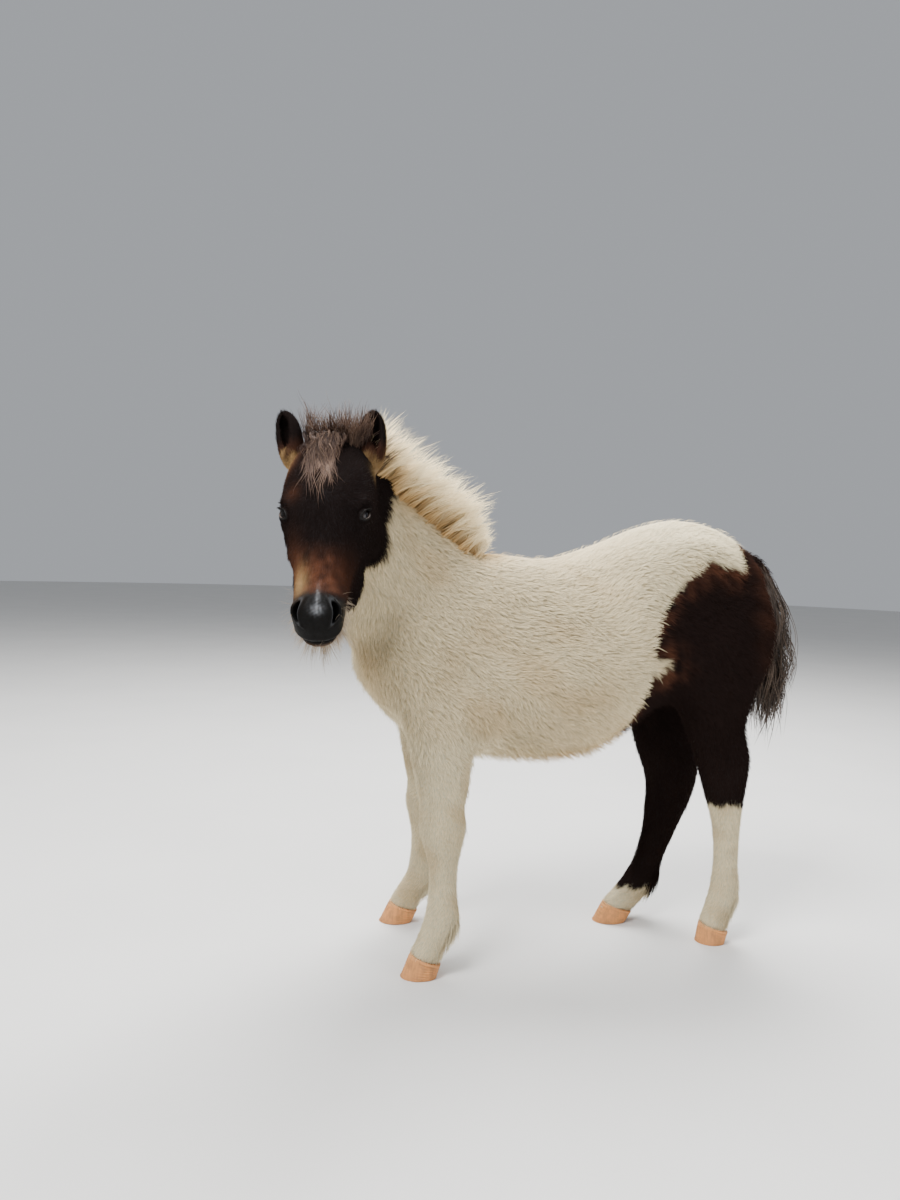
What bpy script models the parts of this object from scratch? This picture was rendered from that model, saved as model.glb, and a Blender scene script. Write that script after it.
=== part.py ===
"""A Shetland pony foal at life size, standing with its head turned to its left.

Metres, +Z up. The pony faces -X and its left side is towards -Y.
Run with: blender --background --python part.py
"""

import math
import random

import bmesh
import bpy
import numpy as np
from mathutils import Matrix, Vector
from mathutils.bvhtree import BVHTree

# Head placing and size.
POLL = Vector((-0.476, -0.1465, 0.914))
HEAD_TURN = math.radians(73.5)  # from straight ahead towards its left
FACE_SLOPE = math.radians(27.0)  # of the face from the vertical
HEAD_TILT = math.radians(1.3)  # crown towards its right
EYE_RADIUS = 0.0165
EYE_CENTRE = (0.131, 0.0530, -0.0150)
LID_THICKNESS = 0.0034
LID_OPENING = (0.0130, 0.0078)
EAR_LENGTH = 0.076
EAR_ROOT = (0.014, 0.0630, -0.036)
NOSTRIL = (0.290, 0.0255, -0.010)

# Hair lengths.
MANE_LENGTH = 0.078
FORELOCK_LENGTH = 0.098
FALLING_LOCKS = 10
STANDING_LOCKS = 6
TAIL_LOCK_LENGTH = 0.185
CHIN_LOCK_LENGTH = 0.066
FETLOCK_LENGTH = 0.028

# Spacing and surface settings.
GAP = 0.0003  # between neighbouring nodes
FLOOR = 0.013  # height of the floor in the tables below
FLESH_VOXEL = 0.0075
SKIN_TRIANGLES = {"head": 8000, "legs": 4400, "body": 3500}  # of the whole skin at each fineness
SEED = 11

# Torso, nose to tail: x, back z, belly z, half width, where it is widest, upper and lower fullness.
TORSO = (
    (-0.406, 0.600, 0.520, 0.058, 0.50, 2.0, 2.0),
    (-0.380, 0.655, 0.480, 0.092, 0.52, 2.0, 2.0),
    (-0.335, 0.700, 0.434, 0.113, 0.52, 2.0, 2.1),
    (-0.270, 0.738, 0.398, 0.120, 0.54, 1.9, 2.1),
    (-0.190, 0.752, 0.380, 0.130, 0.58, 1.7, 2.2),
    (-0.130, 0.750, 0.371, 0.140, 0.60, 1.8, 2.2),
    (-0.050, 0.746, 0.366, 0.150, 0.58, 2.0, 2.2),
    (0.040, 0.772, 0.380, 0.153, 0.56, 2.1, 2.2),
    (0.130, 0.809, 0.430, 0.148, 0.52, 2.1, 2.1),
    (0.210, 0.826, 0.474, 0.140, 0.50, 2.1, 2.0),
    (0.290, 0.813, 0.510, 0.128, 0.46, 2.0, 2.0),
    (0.345, 0.781, 0.560, 0.100, 0.45, 2.0, 2.0),
    (0.378, 0.738, 0.610, 0.058, 0.48, 2.0, 2.0),
)

# Neck, base to poll: crest point, throat point, half width.
NECK = (
    ((-0.130, 0.000, 0.735), (-0.320, 0.000, 0.470), 0.085),
    ((-0.200, -0.002, 0.758), (-0.390, -0.012, 0.520), 0.090),
    ((-0.262, -0.014, 0.796), (-0.428, -0.032, 0.594), 0.086),
    ((-0.330, -0.044, 0.842), (-0.455, -0.060, 0.678), 0.075),
    ((-0.400, -0.084, 0.884), (-0.468, -0.086, 0.735), 0.066),
    ((-0.446, -0.112, 0.900), (-0.482, -0.114, 0.785), 0.060),
)

# Head in its own frame: distance from the poll, forehead height, jaw height, half width,
# where it is widest, upper and lower fullness.
HEAD = (
    (-0.030, -0.045, -0.080, 0.026, 0.50, 2.0, 2.0),
    (-0.012, -0.016, -0.105, 0.054, 0.45, 2.1, 2.0),
    (0.015, 0.004, -0.122, 0.067, 0.42, 2.2, 2.0),
    (0.050, 0.017, -0.134, 0.072, 0.38, 2.3, 2.0),
    (0.088, 0.023, -0.146, 0.074, 0.34, 2.4, 2.0),
    (0.122, 0.021, -0.146, 0.074, 0.34, 2.4, 2.0),
    (0.157, 0.013, -0.132, 0.064, 0.38, 2.2, 2.0),
    (0.190, 0.005, -0.108, 0.052, 0.42, 2.1, 2.0),
    (0.225, 0.000, -0.090, 0.045, 0.46, 2.1, 2.0),
    (0.258, 0.000, -0.079, 0.0415, 0.48, 2.2, 2.1),
    (0.284, -0.001, -0.077, 0.0405, 0.50, 2.3, 2.2),
    (0.306, -0.008, -0.076, 0.037, 0.50, 2.3, 2.2),
    (0.319, -0.022, -0.068, 0.027, 0.50, 2.2, 2.2),
    (0.325, -0.036, -0.056, 0.012, 0.50, 2.2, 2.2),
)

# Forms added to the head on each side, in its frame: centre, half sizes.
HEAD_MASSES = (
    ((0.108, 0.044, -0.088), (0.064, 0.035, 0.058)),  # jowl
    ((0.112, 0.052, -0.006), (0.026, 0.020, 0.015)),  # brow
    ((0.160, 0.045, -0.044), (0.046, 0.017, 0.022)),  # cheek ridge
    ((0.284, 0.026, -0.022), (0.021, 0.0155, 0.021)),  # nostril wing
    ((0.300, 0.010, -0.038), (0.018, 0.024, 0.022)),  # upper lip
    ((0.286, 0.006, -0.068), (0.024, 0.018, 0.016)),  # chin
)

# Legs, top to coronet: front (x, z), rear (x, z), centre y, half width.
FORE_LEFT = (
    ((-0.365, 0.560), (-0.160, 0.560), -0.078, 0.046),
    ((-0.348, 0.470), (-0.178, 0.450), -0.086, 0.050),
    ((-0.326, 0.410), (-0.204, 0.395), -0.092, 0.047),
    ((-0.310, 0.345), (-0.212, 0.340), -0.096, 0.042),
    ((-0.302, 0.300), (-0.218, 0.298), -0.098, 0.038),
    ((-0.303, 0.268), (-0.215, 0.268), -0.100, 0.041),
    ((-0.294, 0.236), (-0.222, 0.236), -0.102, 0.035),
    ((-0.284, 0.200), (-0.228, 0.200), -0.103, 0.028),
    ((-0.284, 0.150), (-0.228, 0.150), -0.105, 0.027),
    ((-0.290, 0.108), (-0.222, 0.103), -0.105, 0.032),
    ((-0.302, 0.074), (-0.243, 0.066), -0.105, 0.028),
    ((-0.314, 0.047), (-0.256, 0.034), -0.105, 0.030),
)
FORE_RIGHT = (
    ((-0.355, 0.560), (-0.150, 0.560), 0.078, 0.046),
    ((-0.334, 0.470), (-0.168, 0.450), 0.086, 0.050),
    ((-0.308, 0.410), (-0.190, 0.395), 0.093, 0.047),
    ((-0.290, 0.340), (-0.194, 0.335), 0.100, 0.042),
    ((-0.280, 0.292), (-0.197, 0.290), 0.104, 0.038),
    ((-0.281, 0.258), (-0.194, 0.258), 0.110, 0.041),
    ((-0.274, 0.226), (-0.203, 0.226), 0.114, 0.035),
    ((-0.266, 0.190), (-0.211, 0.190), 0.118, 0.028),
    ((-0.265, 0.142), (-0.211, 0.138), 0.123, 0.027),
    ((-0.271, 0.106), (-0.206, 0.094), 0.127, 0.032),
    ((-0.289, 0.076), (-0.229, 0.062), 0.129, 0.028),
    ((-0.302, 0.051), (-0.244, 0.034), 0.130, 0.030),
)
HIND_LEFT = (
    ((0.150, 0.690), (0.372, 0.690), -0.070, 0.062),
    ((0.140, 0.590), (0.384, 0.620), -0.082, 0.066),
    ((0.160, 0.510), (0.372, 0.552), -0.088, 0.060),
    ((0.192, 0.450), (0.345, 0.492), -0.087, 0.050),
    ((0.220, 0.398), (0.338, 0.428), -0.083, 0.040),
    ((0.240, 0.350), (0.350, 0.370), -0.079, 0.035),
    ((0.258, 0.300), (0.346, 0.312), -0.077, 0.031),
    ((0.279, 0.240), (0.339, 0.246), -0.076, 0.027),
    ((0.287, 0.165), (0.338, 0.165), -0.075, 0.026),
    ((0.284, 0.116), (0.343, 0.110), -0.074, 0.031),
    ((0.275, 0.080), (0.331, 0.070), -0.073, 0.028),
    ((0.265, 0.047), (0.321, 0.034), -0.072, 0.030),
)
HIND_RIGHT = (
    ((0.140, 0.690), (0.365, 0.690), 0.070, 0.062),
    ((0.110, 0.590), (0.372, 0.610), 0.082, 0.066),
    ((0.134, 0.500), (0.352, 0.535), 0.084, 0.060),
    ((0.166, 0.430), (0.328, 0.462), 0.080, 0.050),
    ((0.186, 0.362), (0.322, 0.382), 0.074, 0.040),
    ((0.208, 0.300), (0.328, 0.310), 0.068, 0.035),
    ((0.208, 0.240), (0.312, 0.252), 0.065, 0.031),
    ((0.203, 0.190), (0.284, 0.198), 0.062, 0.028),
    ((0.186, 0.132), (0.254, 0.136), 0.059, 0.027),
    ((0.166, 0.098), (0.240, 0.092), 0.057, 0.032),
    ((0.142, 0.072), (0.210, 0.056), 0.056, 0.029),
    ((0.121, 0.049), (0.181, 0.032), 0.055, 0.030),
)
LEGS = {
    "foreleg_left": FORE_LEFT,
    "foreleg_right": FORE_RIGHT,
    "hindleg_left": HIND_LEFT,
    "hindleg_right": HIND_RIGHT,
}
FORELEG_CUT = 0.366
HINDLEG_CUT = 0.400

# Hooves: how far the sole stands ahead of the coronet at toe and heel, sole half width.
HOOF_REACH = {
    "foreleg_left": (0.011, 0.008),
    "foreleg_right": (0.017, 0.012),
    "hindleg_left": (0.004, 0.008),
    "hindleg_right": (0.018, 0.014),
}
SOLE_HALF_WIDTH = 0.0275

# Muscle masses: centre, half sizes, turn about Y in degrees.
MASSES = (
    ((-0.285, -0.082, 0.545), (0.090, 0.048, 0.135), -28),  # left shoulder
    ((-0.285, 0.082, 0.545), (0.090, 0.048, 0.135), -28),
    ((-0.205, -0.088, 0.475), (0.075, 0.040, 0.080), 30),  # left triceps
    ((-0.200, 0.088, 0.475), (0.075, 0.040, 0.080), 30),
    ((0.215, -0.070, 0.690), (0.130, 0.070, 0.110), 10),  # left quarter
    ((0.215, 0.070, 0.690), (0.130, 0.070, 0.110), 10),
    ((0.305, -0.060, 0.640), (0.076, 0.062, 0.130), 6),  # left buttock
    ((0.300, 0.060, 0.640), (0.076, 0.062, 0.130), 6),
)

# Dock of the tail: point, radius.
DOCK = (
    ((0.350, 0.000, 0.752), 0.026),
    ((0.388, 0.000, 0.738), 0.024),
    ((0.418, 0.002, 0.700), 0.021),
    ((0.430, 0.004, 0.640), 0.018),
    ((0.432, 0.006, 0.580), 0.014),
    ((0.430, 0.008, 0.540), 0.008),
)
TAIL_CUT = 0.394
TAIL_CORE = (
    ((0.412, 0.001, 0.722), 0.018),
    ((0.430, 0.002, 0.670), 0.028),
    ((0.436, 0.004, 0.600), 0.033),
    ((0.436, 0.006, 0.530), 0.030),
    ((0.428, 0.008, 0.470), 0.018),
    ((0.424, 0.009, 0.440), 0.006),
)

# Colours and finish of each node.
WHITE_COAT = (0.78, 0.70, 0.58, 1.0)
DARK_COAT = (0.035, 0.022, 0.016, 1.0)
FINISHES = {
    "torso": (WHITE_COAT, 0.95),
    "neck": (WHITE_COAT, 0.95),
    "head": (DARK_COAT, 0.85),
    "ear": (DARK_COAT, 0.90),
    "eye": ((0.012, 0.008, 0.006, 1.0), 0.08),
    "foreleg": (WHITE_COAT, 0.95),
    "hindleg": (DARK_COAT, 0.95),
    "hoof": ((0.52, 0.33, 0.21, 1.0), 0.55),
    "tail": ((0.060, 0.042, 0.032, 1.0), 0.90),
}


def table_curve(rows, count):
    """A smooth curve through the rows of a table, as count rows."""
    rows = np.array(rows, float)
    steps = np.linalg.norm(np.diff(rows[:, :3], axis=0), axis=1) ** 0.5
    knots = np.concatenate([[0.0], np.cumsum(steps)])
    slopes = np.gradient(rows, knots, axis=0)
    at = np.linspace(0.0, knots[-1], count)
    span = np.clip(np.searchsorted(knots, at, side="right") - 1, 0, len(rows) - 2)
    width = (knots[span + 1] - knots[span])[:, None]
    t = (at - knots[span])[:, None] / width
    start, end = rows[span], rows[span + 1]
    lead, trail = slopes[span] * width, slopes[span + 1] * width
    return (
        (2 * t**3 - 3 * t**2 + 1) * start
        + (t**3 - 2 * t**2 + t) * lead
        + (3 * t**2 - 2 * t**3) * end
        + (t**3 - t**2) * trail
    )


def ring(top, keel, side, half_width, widest, upper, lower, sides):
    """Points of an egg-shaped section between its top and keel points."""
    top, keel, side = np.array(top), np.array(keel), np.array(side)
    centre = top + widest * (keel - top)
    points = []
    for k in range(sides):
        turn = 2 * math.pi * k / sides
        c, s = math.cos(turn), math.sin(turn)
        power = 2.0 / (upper if c >= 0 else lower)
        end = top if c >= 0 else keel
        across = math.copysign(abs(s) ** power, s)
        points.append(centre + (end - centre) * abs(c) ** power + side * half_width * across)
    return points


def finish_mesh(bm, name):
    bmesh.ops.recalc_face_normals(bm, faces=bm.faces)
    mesh = bpy.data.meshes.new(name)
    bm.to_mesh(mesh)
    bm.free()
    return mesh


def loft_mesh(name, rings):
    """A closed mesh through rings of points, each end closed by a fan to its middle."""
    bm = bmesh.new()
    rows = [[bm.verts.new(Vector(p)) for p in points] for points in rings]
    sides = len(rows[0])
    for a, b in zip(rows, rows[1:]):
        for k in range(sides):
            n = (k + 1) % sides
            bm.faces.new((a[k], a[n], b[n], b[k]))
    for row in (rows[0], rows[-1]):
        middle = bm.verts.new(sum((v.co for v in row), Vector()) / sides)
        for k in range(sides):
            bm.faces.new((middle, row[k], row[(k + 1) % sides]))
    return finish_mesh(bm, name)


def ball_mesh(name, place, segments=24, rings=16):
    bm = bmesh.new()
    bmesh.ops.create_uvsphere(bm, u_segments=segments, v_segments=rings, radius=1.0, matrix=place)
    return finish_mesh(bm, name)


def box_mesh(name, frame, low, high):
    """A box between two corners of a frame."""
    low, high = Vector(low), Vector(high)
    bm = bmesh.new()
    place = frame @ Matrix.Translation((low + high) / 2) @ Matrix.Diagonal((*(high - low), 1.0))
    bmesh.ops.create_cube(bm, size=1.0, matrix=place)
    return finish_mesh(bm, name)


def frame_from(point, first, second):
    """A frame at a point whose X runs along first and whose Y leans to second."""
    x = Vector(first).normalized()
    z = x.cross(Vector(second)).normalized()
    y = z.cross(x)
    return Matrix.Translation(Vector(point)) @ Matrix((x, y, z)).transposed().to_4x4()


def head_frame():
    """The head's own frame: X along the face, Y out of its left side, Z out of the face."""
    facing = Vector((-math.cos(HEAD_TURN), -math.sin(HEAD_TURN), 0.0))
    upright = Matrix.Rotation(HEAD_TILT, 3, facing) @ Vector((0, 0, 1))
    left = upright.cross(facing)
    along = facing * math.sin(FACE_SLOPE) - upright * math.cos(FACE_SLOPE)
    out = facing * math.cos(FACE_SLOPE) + upright * math.sin(FACE_SLOPE)
    return Matrix.Translation(POLL) @ Matrix((along, left, out)).transposed().to_4x4()


def torso_mesh():
    rows = table_curve(TORSO, 40)
    return loft_mesh("torso_form", [ring((r[0], 0, r[1]), (r[0], 0, r[2]), (0, 1, 0), *r[3:], 32) for r in rows])


def neck_rows(count):
    """Crest point, throat point, half width and sideways direction along the neck."""
    rows = table_curve([(*crest, *throat, half) for crest, throat, half in NECK], count)
    middles = (rows[:, :3] + rows[:, 3:6]) / 2
    found = []
    for row, tangent in zip(rows, np.gradient(middles, axis=0)):
        side = np.cross(tangent, row[:3] - row[3:6])
        found.append((row[:3], row[3:6], row[6], side / np.linalg.norm(side)))
    return found


def neck_mesh():
    return loft_mesh("neck_form", [ring(c, t, s, h, 0.56, 1.8, 2.1, 28) for c, t, h, s in neck_rows(24)])


def head_mesh():
    rows = table_curve(HEAD, 48)
    mesh = loft_mesh("head_form", [ring((r[0], 0, r[1]), (r[0], 0, r[2]), (0, 1, 0), *r[3:], 32) for r in rows])
    mesh.transform(head_frame())
    return mesh


def leg_rows(stations):
    """The table of a leg, carried a little past the coronet."""
    rows = [(f[0], y, f[1], r[0], y, r[1], half) for f, r, y, half in stations]
    last = np.array(rows[-1])
    end = last + 0.9 * (last - np.array(rows[-2]))
    end[2] = max(end[2], FLOOR + 0.004)
    end[5] = max(end[5], FLOOR + 0.002)
    return [*rows, tuple(end)]


def leg_mesh(name, stations):
    rows = table_curve(leg_rows(stations), 52)
    return loft_mesh(name, [ring(r[:3], r[3:6], (0, 1, 0), r[6], 0.5, 2.2, 2.2, 20) for r in rows])


def tube_mesh(name, stations, count, sides):
    """A round tube through points with radii."""
    rows = table_curve([(*point, radius) for point, radius in stations], count)
    rings = []
    for row, tangent in zip(rows, np.gradient(rows[:, :3], axis=0)):
        side = Vector((0, 1, 0))
        up = side.cross(Vector(tangent)).normalized()
        centre = Vector(row[:3])
        turns = [2 * math.pi * k / sides for k in range(sides)]
        rings.append([centre + (up * math.cos(t) + side * math.sin(t)) * float(row[3]) for t in turns])
    return loft_mesh(name, rings)


def add_object(name, mesh):
    obj = bpy.data.objects.new(name, mesh)
    bpy.context.scene.collection.objects.link(obj)
    return obj


def settle(obj):
    """Applies the object's modifiers."""
    graph = bpy.context.evaluated_depsgraph_get()
    mesh = bpy.data.meshes.new_from_object(obj.evaluated_get(graph))
    obj.modifiers.clear()
    obj.data = mesh


def boolean(obj, mesh, operation, solver="EXACT"):
    """Cuts, joins or crosses the object with a closed mesh."""
    other = add_object("cutter", mesh)
    modifier = obj.modifiers.new("Part", "BOOLEAN")
    modifier.operation = operation
    modifier.solver = solver
    modifier.object = other
    settle(obj)
    bpy.data.objects.remove(other)


def copy_object(obj, name):
    return add_object(name, obj.data.copy())


def keep_largest(obj):
    """Leaves only the largest closed surface of a node."""
    bm = bmesh.new()
    bm.from_mesh(obj.data)
    bm.verts.ensure_lookup_table()
    seen = set()
    groups = []
    for vert in bm.verts:
        if vert.index in seen:
            continue
        group, front = [], [vert]
        seen.add(vert.index)
        while front:
            here = front.pop()
            group.append(here)
            for edge in here.link_edges:
                other = edge.other_vert(here)
                if other.index not in seen:
                    seen.add(other.index)
                    front.append(other)
        groups.append(group)
    groups.sort(key=len)
    extra = [vert for group in groups[:-1] for vert in group]
    if extra:
        bmesh.ops.delete(bm, geom=extra, context="VERTS")
    bm.to_mesh(obj.data)
    bm.free()


def part_of(skin, name, frame, low, high):
    """The part of a skin inside a box, as a node of its own."""
    part = copy_object(skin, name)
    boolean(part, box_mesh("box", frame, low, high), "INTERSECT", "MANIFOLD")
    keep_largest(part)
    return part


def clear_box(obj, frame, low, high):
    """Takes a box and a thin gap round it out of a node."""
    room = Vector((GAP, GAP, GAP))
    boolean(obj, box_mesh("box", frame, Vector(low) - room, Vector(high) + room), "DIFFERENCE", "MANIFOLD")
    keep_largest(obj)


def clear_node(obj, other):
    """Takes another node and a thin gap round it out of a node."""
    mesh = other.data.copy()
    for vert, normal in zip(mesh.vertices, [Vector(v.normal) for v in mesh.vertices]):
        vert.co += normal * 2 * GAP
    boolean(obj, mesh, "DIFFERENCE", "MANIFOLD")
    keep_largest(obj)


def neighbour_links(mesh):
    ends = np.empty(len(mesh.edges) * 2, int)
    mesh.edges.foreach_get("vertices", ends)
    a, b = ends.reshape(-1, 2).T
    count = len(mesh.vertices)
    return a, b, np.bincount(np.concatenate([a, b]), minlength=count)[:, None]


def even_out(mesh, rounds, fill):
    """Relaxes the surface without shrinking it, then fills its sharp creases."""
    count = len(mesh.vertices)
    points = np.empty(count * 3)
    mesh.vertices.foreach_get("co", points)
    points = points.reshape(-1, 3)
    a, b, links = neighbour_links(mesh)

    def pull():
        total = np.empty_like(points)
        for axis in range(3):
            total[:, axis] = np.bincount(a, points[b, axis], count) + np.bincount(b, points[a, axis], count)
        return total / links - points

    normals = np.empty(count * 3)
    from_poll = np.linalg.norm(points - np.array(POLL), axis=1)
    low = np.clip((points[:, 2] - 0.30) / 0.12, 0.0, 1.0)
    share = np.where(from_poll < 0.30, 0.22, 1.0) * (0.25 + 0.75 * low)
    for _ in range(fill):
        mesh.vertices.foreach_set("co", points.ravel())
        mesh.update()
        mesh.vertices.foreach_get("normal", normals)
        out = normals.reshape(-1, 3)
        rise = np.maximum((pull() * out).sum(axis=1), 0.0) * share
        points += out * rise[:, None] * 0.6
    for _ in range(rounds):
        for step in (0.55, -0.57):
            points += step * pull()
    mesh.vertices.foreach_set("co", points.ravel())
    mesh.update()


def flesh_mesh():
    """The whole body as one smooth skin."""
    meshes = [torso_mesh(), neck_mesh(), head_mesh(), tube_mesh("dock", DOCK, 24, 14)]
    meshes += [leg_mesh(name, stations) for name, stations in LEGS.items()]
    for centre, half_sizes, turn in MASSES:
        place = Matrix.Translation(centre) @ Matrix.Rotation(math.radians(turn), 4, "Y")
        meshes.append(ball_mesh("mass", place @ Matrix.Diagonal((*half_sizes, 1.0))))
    for centre, half_sizes in HEAD_MASSES:
        for hand in (1, -1):
            place = head_frame() @ Matrix.Translation((centre[0], hand * centre[1], centre[2]))
            meshes.append(ball_mesh("mass", place @ Matrix.Diagonal((*half_sizes, 1.0))))
    bm = bmesh.new()
    for mesh in meshes:
        bm.from_mesh(mesh)
    obj = add_object("flesh", finish_mesh(bm, "flesh"))
    remesh = obj.modifiers.new("Fuse", "REMESH")
    remesh.mode = "VOXEL"
    remesh.voxel_size = FLESH_VOXEL
    settle(obj)
    even_out(obj.data, 8, 70)
    return obj


def thinned(skin, triangles):
    """A copy of the skin reduced to about so many triangles."""
    obj = copy_object(skin, "thinned")
    reduce = obj.modifiers.new("Reduce", "DECIMATE")
    reduce.ratio = triangles / (2.0 * len(obj.data.polygons))
    reduce.use_collapse_triangulate = True
    settle(obj)
    return obj


def coronet(stations):
    """Front and rear points of a leg's coronet, its centre line y and half width."""
    front, rear, y, half = stations[-1]
    return Vector((front[0], y, front[1])), Vector((rear[0], y, rear[1])), half


def hoof_mesh(name, stations, reach):
    """A hoof from its flat sole up to the coronet."""
    front, rear, half = coronet(stations)
    slope = (front - rear).normalized()
    down = Vector((slope.z, 0, -slope.x))
    if down.z > 0:
        down = -down
    top_front = front + down * GAP - slope * 0.0015
    top_rear = rear + down * GAP + slope * 0.0015
    sole_front = Vector((front.x - reach[0], front.y, FLOOR))
    sole_rear = Vector((rear.x - reach[1], front.y, FLOOR))
    rings = []
    for t in (0.0, 0.09, 0.55, 1.0):
        a = sole_front.lerp(top_front, t)
        b = sole_rear.lerp(top_rear, t)
        wide = SOLE_HALF_WIDTH + (half - 0.0015 - SOLE_HALF_WIDTH) * t
        if t == 0.0:
            a.x += 0.0018
            wide -= 0.0015
        rings.append(ring(a, b, (0, 1, 0), wide, 0.52, 2.0, 2.6, 18))
    return loft_mesh(name, rings)


def eye_place(hand):
    """The eye's frame: X outwards, Y towards the muzzle."""
    frame = head_frame()
    centre = frame @ Vector((EYE_CENTRE[0], hand * EYE_CENTRE[1], EYE_CENTRE[2]))
    outward = frame.to_3x3() @ Vector((0.03, hand * 0.74, 0.67))
    forward = frame.to_3x3() @ Vector((1.0, 0.0, -0.16))
    return frame_from(centre, outward, forward)


def lens_mesh(name, frame, half_long, half_high, low, high):
    """A pointed-oval prism along X of a frame."""
    count = 7
    outline = []
    for k in range(count):
        t = -1 + 2 * k / (count - 1)
        outline.append((half_long * t, half_high * (1 - t * t) ** 0.8))
    for k in range(count - 2, 0, -1):
        t = -1 + 2 * k / (count - 1)
        outline.append((half_long * t, -0.85 * half_high * (1 - t * t) ** 0.8))
    rings = [[frame @ Vector((x, y, z)) for y, z in outline] for x in (low, high)]
    return loft_mesh(name, rings)


def carve_eyes(head):
    for hand in (1, -1):
        place = eye_place(hand)
        boolean(head, ball_mesh("lids", place @ Matrix.Scale(EYE_RADIUS + LID_THICKNESS, 4), 16, 8), "UNION", "MANIFOLD")
    for hand in (1, -1):
        place = eye_place(hand)
        boolean(head, ball_mesh("socket", place @ Matrix.Scale(EYE_RADIUS + GAP, 4), 16, 8), "DIFFERENCE", "MANIFOLD")
        boolean(head, lens_mesh("opening", place, *LID_OPENING, 0.006, 0.040), "DIFFERENCE", "MANIFOLD")


def carve_nostrils(head):
    for hand in (1, -1):
        centre = Vector((NOSTRIL[0], hand * NOSTRIL[1], NOSTRIL[2]))
        frame = head_frame() @ Matrix.Translation(centre)
        frame = frame @ frame_from((0, 0, 0), (0.85, hand * 0.50, -0.25), (0, hand, 0.0))
        cutter = ball_mesh("nostril", frame @ Matrix.Diagonal((0.0120, 0.0054, 0.0150, 1.0)), 12, 8)
        boolean(head, cutter, "DIFFERENCE", "MANIFOLD")


def carve_mouth(head):
    """A narrow groove between the lips, along the surface of the muzzle."""
    tree = BVHTree.FromPolygons([v.co for v in head.data.vertices], [p.vertices for p in head.data.polygons])
    frame = head_frame()
    turn = frame.to_3x3()
    rings = []
    for k in range(17):
        swing = math.radians(-118 + 236 * k / 16)
        start = frame @ Vector((0.262 + 0.004 * math.cos(swing), 0, -0.056 - 0.004 * math.cos(swing)))
        aim = turn @ Vector((math.cos(swing), math.sin(swing), 0.05 * math.cos(swing)))
        hit = tree.ray_cast(start, aim)[0]
        side = turn @ Vector((0, 0, 1))
        fade = 0.35 + 0.65 * math.cos(swing * 0.70)
        points = []
        for m in range(6):
            angle = 2 * math.pi * m / 6
            points.append(hit + aim * 0.0042 * fade * math.cos(angle) + side * 0.0013 * math.sin(angle))
        rings.append(points)
    boolean(head, loft_mesh("mouth", rings), "DIFFERENCE", "MANIFOLD")


def ear_frame(hand):
    """The ear's frame: X up the ear, Y across it, Z into its opening."""
    frame = head_frame()
    root = frame @ Vector((EAR_ROOT[0], hand * EAR_ROOT[1], EAR_ROOT[2]))
    lean = 0.02 if hand > 0 else 0.22
    up = frame.to_3x3() @ Vector((-0.90, hand * lean, 0.40))
    opening = frame.to_3x3() @ Vector((0.35, hand * 0.45, 0.85))
    z = (opening - up * (opening.dot(up) / up.length_squared)).normalized()
    x = up.normalized()
    y = z.cross(x)
    return Matrix.Translation(root) @ Matrix((x, y, z)).transposed().to_4x4()


EAR = (
    # height share, half width, half depth, forward offset
    (-0.34, 0.0080, 0.0090, -0.0080),
    (-0.14, 0.0150, 0.0150, -0.0030),
    (0.06, 0.0190, 0.0175, 0.0000),
    (0.38, 0.0215, 0.0150, -0.0010),
    (0.58, 0.0212, 0.0120, -0.0015),
    (0.77, 0.0170, 0.0090, -0.0010),
    (0.91, 0.0095, 0.0060, 0.0005),
    (0.99, 0.0035, 0.0030, 0.0015),
)


def ear_mesh(name, hand):
    frame = ear_frame(hand)
    rings = []
    for share, wide, deep, offset in table_curve(EAR, 10):
        points = []
        for k in range(10):
            turn = 2 * math.pi * k / 10
            points.append(frame @ Vector((share * EAR_LENGTH, wide * math.cos(turn), offset + deep * math.sin(turn))))
        rings.append(points)
    return loft_mesh(name, rings)


def ear_hollow(hand):
    """The cup of the ear, open to the front."""
    frame = ear_frame(hand)
    rings = []
    for share, wide, deep, offset in table_curve(EAR, 13):
        if share < 0.22 or share > 0.955:
            continue
        thin = max(wide - 0.0032, 0.0014)
        reach = max(deep - 0.0032, 0.0010)
        points = []
        for k in range(10):
            turn = 2 * math.pi * k / 10
            height = offset + reach * math.sin(turn)
            if math.sin(turn) > 0:
                height = offset + (deep + 0.010) * math.sin(turn)
            points.append(frame @ Vector((share * EAR_LENGTH, thin * math.cos(turn), height)))
        rings.append(points)
    return loft_mesh("cup", rings)


def lock_mesh(name, path, width, depth, flat_side):
    """A flat tapered lock of hair along a path, its broad side facing flat_side."""
    count = len(path)
    rings = []
    for k, point in enumerate(path):
        t = k / (count - 1)
        tangent = path[min(k + 1, count - 1)] - path[max(k - 1, 0)]
        across = tangent.cross(flat_side)
        if across.length < 1e-6:
            across = tangent.cross(Vector((0.3, 0.5, 0.8)))
        across.normalize()
        out = across.cross(tangent).normalized()
        swell = (0.70 + 1.1 * t) if t < 0.28 else (1.0 - ((t - 0.28) / 0.72) ** 1.7)
        wide = max(width / 2 * swell, 0.0007)
        deep = max(depth / 2 * min(1.0, 1.25 * swell), 0.0005)
        rings.append([point + across * wide, point + out * deep, point - across * wide, point - out * deep])
    return loft_mesh(name, rings)


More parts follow.
